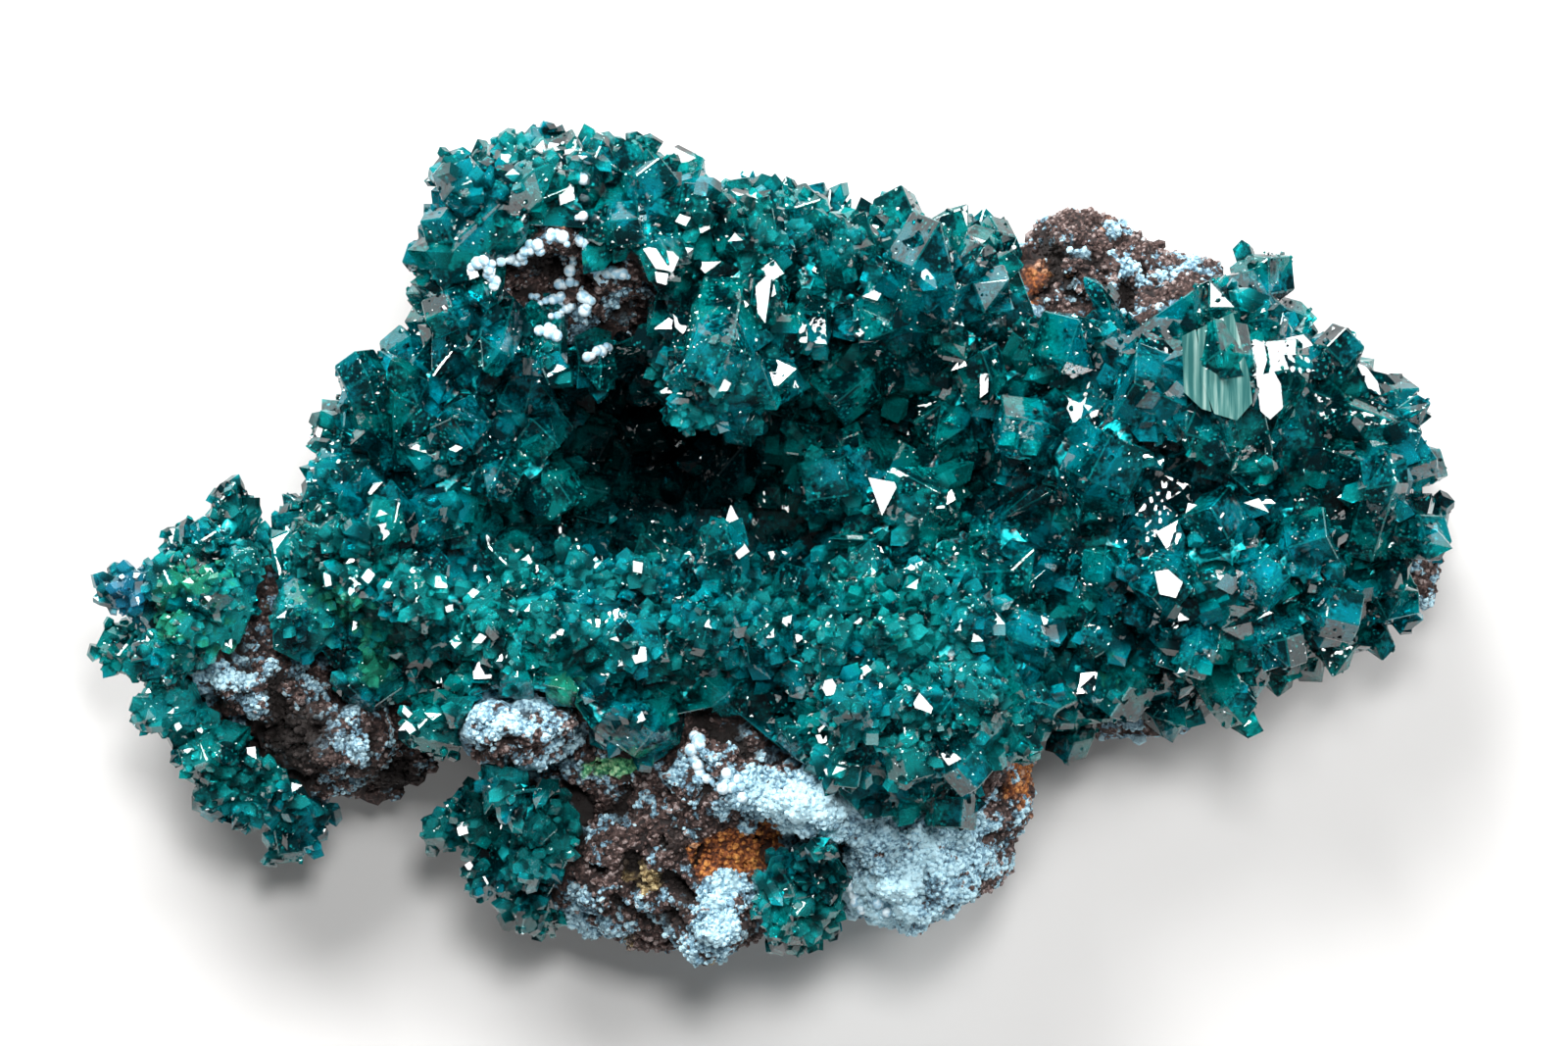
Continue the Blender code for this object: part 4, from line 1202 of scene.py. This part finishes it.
def bead_tree():
    tree, given, out = new_group("String beads", "GeometryNodeTree", "Geometry", BEAD_INPUTS)
    line = add_node(tree, "GeometryNodeMeshToCurve", Mesh=given["Geometry"])
    even = add_node(tree, "GeometryNodeResampleCurve", mode="LENGTH", Curve=line.outputs[0],
                    Length=given["Step"])
    moved = add_node(tree, "GeometryNodeSetPosition", Geometry=even.outputs[0],
                     Offset=random_direction(tree, given["Jitter"]))
    ball = add_node(tree, "GeometryNodeMeshUVSphere", Radius=1.0, Segments=BEAD_SEGMENTS, Rings=BEAD_RINGS)
    soft = add_node(tree, "GeometryNodeSetShadeSmooth", Geometry=ball.outputs[0])
    strung = add_node(tree, "GeometryNodeInstanceOnPoints", Points=moved.outputs[0],
                      Instance=soft.outputs[0],
                      Scale=random_between(tree, given["Small"], given["Large"], THICKNESS_SEED))
    return realized(tree, strung.outputs[0], given["Material"], out)


stringing = bead_tree()
print("bead tree:", len(stringing.nodes), "nodes")

# %% [markdown]
# Each string is a short line of points listed from the photograph and dropped on the rock from above. Where
# one point lies much deeper than the last, the line is broken off, because no string hangs free. The beads
# are chalky, in clouds of pale blue and white.

# %% The strings of beads
KNOB_STRINGS = [
    [(709, 747), (714, 758), (705, 765), (710, 775), (719, 789), (730, 796), (740, 803), (751, 796),
     (758, 810)],
    [(863, 898), (867, 905), (873, 915), (877, 924)],
    [(897, 919), (905, 926)],
    [(744, 786), (752, 790)],
]
BEAD_LIFT = 0.25
BEAD_DROP = 1.6
BEAD_JITTER = 0.20
BEAD_WHITE = (0.80, 0.94, 1.00)
BEAD_BLUE = (0.36, 0.62, 0.78)


def bead_material():
    material, tree, shader, where = new_material("chalky beads")
    colour = use_group(tree, two_tones, Vector=where, Scale=1 / (0.5 * MM), Low=0.40, High=0.55,
                       First=BEAD_BLUE, Second=BEAD_WHITE)
    feed(tree, shader, Base_Color=colour, Roughness=0.4)
    ripple(tree, shader, noise_texture(tree, where, size=0.2), strength=0.4, distance=0.04)
    return material


def string_lines(tree, strings):
    """One mesh of open lines that lie on the rock."""
    bm = bmesh.new()
    for string in strings:
        last = None
        for px, py in string:
            hit = tree.ray_cast(Vector((*place(px, py), ABOVE)), DOWN)[0]
            vert = hit and bm.verts.new(hit - DOWN * BEAD_LIFT * MM)
            if last and vert and abs(last.co.z - vert.co.z) < BEAD_DROP * MM:
                bm.edges.new((last, vert))
            last = vert
    return mesh_from(bm, "bead lines")


surface_tree = tree_of(rock.data, *skins)
chalk = bead_material()
STRINGS = {
    "matrix_beads": (BEAD_STRINGS, dict(Step=0.34, Small=0.22, Large=0.50)),
    "matrix_knobs": (KNOB_STRINGS, dict(Step=0.6, Small=0.30, Large=0.55)),
}
for name, (strings, sizes) in STRINGS.items():
    lines = string_lines(surface_tree, strings)
    beads = run_tree(lines, stringing, name, Jitter=BEAD_JITTER, Material=chalk, **sizes)
    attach(beads, "root")
    print(beads.name, triangles(beads), "triangles")

# %% [markdown]
# Some crystal faces in the photograph are turned so that they mirror the lamp, and show as white shapes
# with sharp outlines. Each is modelled as a block whose flat top has that outline and is turned half way
# between the lamp and the camera, because that is where a mirror must face. The two numbers after an
# outline turn the face away from there by some degrees, which makes it greyer. Two faces of one large
# crystal are veiled by fine lines instead, with a painted sheen in their light lines.

# %% The mirror faces
MIRROR_FACES = [
    ([(1271, 350), (1281, 346), (1290, 350), (1293, 367), (1288, 384), (1276, 383), (1272, 367)], 0, 0),
    ([(1282, 384), (1300, 379), (1307, 392), (1309, 416), (1296, 428), (1286, 419)], 1, 0),
    ([(1312, 345), (1330, 341), (1340, 352), (1322, 358)], 3, 2),
    ([(1310, 362), (1336, 362), (1342, 378), (1318, 384)], -5, 4),
    ([(1178, 583), (1192, 581), (1207, 594), (1200, 610), (1183, 606)], 1, 0),
    ([(1325, 464), (1332, 466), (1331, 485), (1325, 486)], 0, 1),
    ([(1327, 502), (1336, 504), (1334, 512), (1327, 510)], 0, 0),
    ([(1000, 378), (1009, 382), (1008, 400), (1000, 406)], 0, 0),
    ([(656, 254), (662, 252), (687, 257), (693, 263), (687, 277), (669, 274)], 3, -3),
    ([(668, 277), (682, 279), (680, 291), (670, 288)], -5, 3),
    ([(771, 292), (782, 281), (787, 283), (784, 308), (781, 330), (773, 319)], 3, 3),
    ([(576, 153), (585, 151), (588, 160), (578, 168)], 0, 0),
    ([(500, 176), (508, 171), (512, 178), (503, 184)], 1, 1),
    ([(516, 172), (526, 170), (527, 178)], 0, 0),
    ([(687, 320), (698, 317), (704, 330), (697, 341), (689, 334)], 2, -2),
    ([(482, 672), (500, 671), (502, 692), (483, 693)], 0, 0),
    ([(640, 658), (659, 660), (660, 674), (648, 677)], 0, 1),
    ([(925, 699), (936, 704), (952, 722), (950, 728), (934, 722)], 0, 0),
    ([(886, 487), (913, 492), (915, 497), (900, 526)], 1, 1),
    ([(971, 632), (981, 634), (975, 645)], 0, 0),
    ([(922, 742), (933, 740), (931, 754), (924, 753)], 0, 0),
    ([(828, 730), (838, 727), (845, 738), (836, 747)], 2, 2),
    ([(832, 750), (843, 748), (844, 757), (836, 759)], 3, 0),
    ([(958, 768), (970, 765), (981, 774), (968, 781)], 0, 0),
    ([(1062, 628), (1070, 632), (1066, 642)], 0, 0),
    ([(465, 840), (475, 838), (478, 850), (468, 853)], 0, 0),
    ([(646, 572), (656, 574), (655, 585), (646, 583)], 5, 0),
    ([(780, 296), (790, 290), (792, 300), (783, 306)], 0, 0),
    ([(476, 275), (486, 272), (489, 282), (478, 286)], 4, 0),
    ([(470, 283), (478, 287), (474, 294)], 2, 0),
    ([(1384, 370), (1394, 374), (1406, 390), (1409, 403), (1398, 400)], 0, 0),
]
VEILED_SHEEN_FACES = [
    ([(1206, 343), (1220, 336), (1236, 420), (1226, 417), (1208, 400)], 14, -14),
    ([(1222, 336), (1258, 319), (1275, 383), (1278, 411), (1262, 429), (1239, 422), (1225, 383)], 9, 6),
]
FACE_DEPTH = 3.0
FACE_TAPER = 0.8
FACE_LIFT = 0.15


def add_mirror_face(bm, outline, turn_x, turn_y):
    """A block under a flat face that has this outline when it is seen from the camera."""
    turned = Matrix.Rotation(math.radians(turn_x), 3, "X") @ Matrix.Rotation(math.radians(turn_y), 3, "Y")
    facing = turned @ GLINT_FACING
    spots = [Vector((*place(px, py), 0)) for px, py in outline]
    middle = sum(spots, Vector()) / len(spots)
    rises = [-(spot - middle).dot(facing) / facing.z for spot in spots]
    hits = [surface_tree.ray_cast(spot - DOWN * ABOVE, DOWN)[0] for spot in spots + [middle]]
    height = max(hit.z - rise for hit, rise in zip(hits, rises + [0.0]) if hit) + FACE_LIFT * MM
    rim = [bm.verts.new(nearer(spot, height + rise)) for spot, rise in zip(spots, rises)]
    feet = [nearer(middle.lerp(spot, FACE_TAPER), height + rise) for spot, rise in zip(spots, rises)]
    foot = [bm.verts.new(spot + DOWN * FACE_DEPTH * MM) for spot in feet]
    bm.faces.new(rim)
    bm.faces.new(foot[::-1])
    add_walls(bm, foot, rim)


def make_faces(name, faces, material):
    bm = bmesh.new()
    for outline, turn_x, turn_y in faces:
        add_mirror_face(bm, outline, turn_x, turn_y)
    bmesh.ops.recalc_face_normals(bm, faces=bm.faces)
    blocks = linked(name, mesh_from(bm, name))
    blocks.data.materials.append(material)
    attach(blocks, "root")
    print(name, triangles(blocks), "triangles")


make_faces("dioptase_mirror_faces", MIRROR_FACES, gem)
make_faces("dioptase_veiled_faces", VEILED_SHEEN_FACES, veiled_sheen)

# %% [markdown]
# The stage begins with a plain pale floor. It isn't part of the specimen, so it is only staged, and
# its material is faintly mottled, because a perfectly even floor looks like paper.

# %% The floor
FLOOR_SIZE = 3.0
FLOOR_GREY = (0.62, 0.61, 0.60)
FLOOR_PALE = (0.68, 0.67, 0.66)


def make_floor():
    bm = bmesh.new()
    bmesh.ops.create_grid(bm, x_segments=1, y_segments=1, size=FLOOR_SIZE / 2)
    floor = linked("floor", mesh_from(bm, "floor"))
    material, tree, shader, where = new_material("pale floor")
    colour = use_group(tree, two_tones, Vector=where, Scale=1 / (60.0 * MM), Low=0.3, High=0.7,
                       First=FLOOR_GREY, Second=FLOOR_PALE)
    feed(tree, shader, Base_Color=colour, Roughness=0.7)
    floor.data.materials.append(material)


make_floor()
print("floor", FLOOR_SIZE, "m wide")

# %% [markdown]
# The specimen lies on its back, so the camera looks straight down on it, with a long lens, and the top
# of the photograph is +Y. Four soft boxes and a pale room light it. The soft boxes are small and
# bright, because a clear face mirrors only a sixteenth of what it sees, and the photograph is full of
# sharp white glints.

# %% Camera and lights
SOFT_BOXES = {
    "key": (KEY_PLACE, 0.31, 6.5),
    "right": ((0.42, 0.20, 0.36), 0.20, 2.4),
    "front": ((0.03, 0.14, 0.60), 0.12, 2.0),
    "fill": ((-0.10, -0.42, 0.42), 0.30, 0.7),
}
ROOM_COLOUR = (0.9, 0.95, 1.0)
ROOM_STRENGTH = 0.06


def make_camera():
    data = bpy.data.cameras.new("camera")
    data.lens = LENS
    data.sensor_width = SENSOR
    data.clip_start = 0.01
    camera = linked("camera", data)
    camera.location = (*place(*VIEW_MIDDLE), VIEW_PLANE + VIEW_DISTANCE)
    bpy.context.scene.camera = camera


def make_soft_box(name, location, size, power):
    """A square lamp that shines on the specimen."""
    data = bpy.data.lights.new(name, "AREA")
    data.size = size
    data.energy = power
    light = linked(name, data)
    light.location = location
    light.rotation_euler = (-Vector(location)).to_track_quat("-Z", "Y").to_euler()


def make_room():
    world = bpy.data.worlds.new("room")
    world.use_nodes = True
    feed(world.node_tree, world.node_tree.nodes["Background"], Color=ROOM_COLOUR, Strength=ROOM_STRENGTH)
    bpy.context.scene.world = world


make_camera()
for name, (location, size, power) in SOFT_BOXES.items():
    make_soft_box(name, location, size, power)
make_room()
bpy.context.scene.view_settings.view_transform = "Standard"
print("four soft boxes, camera", round(bpy.context.scene.camera.location.z, 3), "m up")
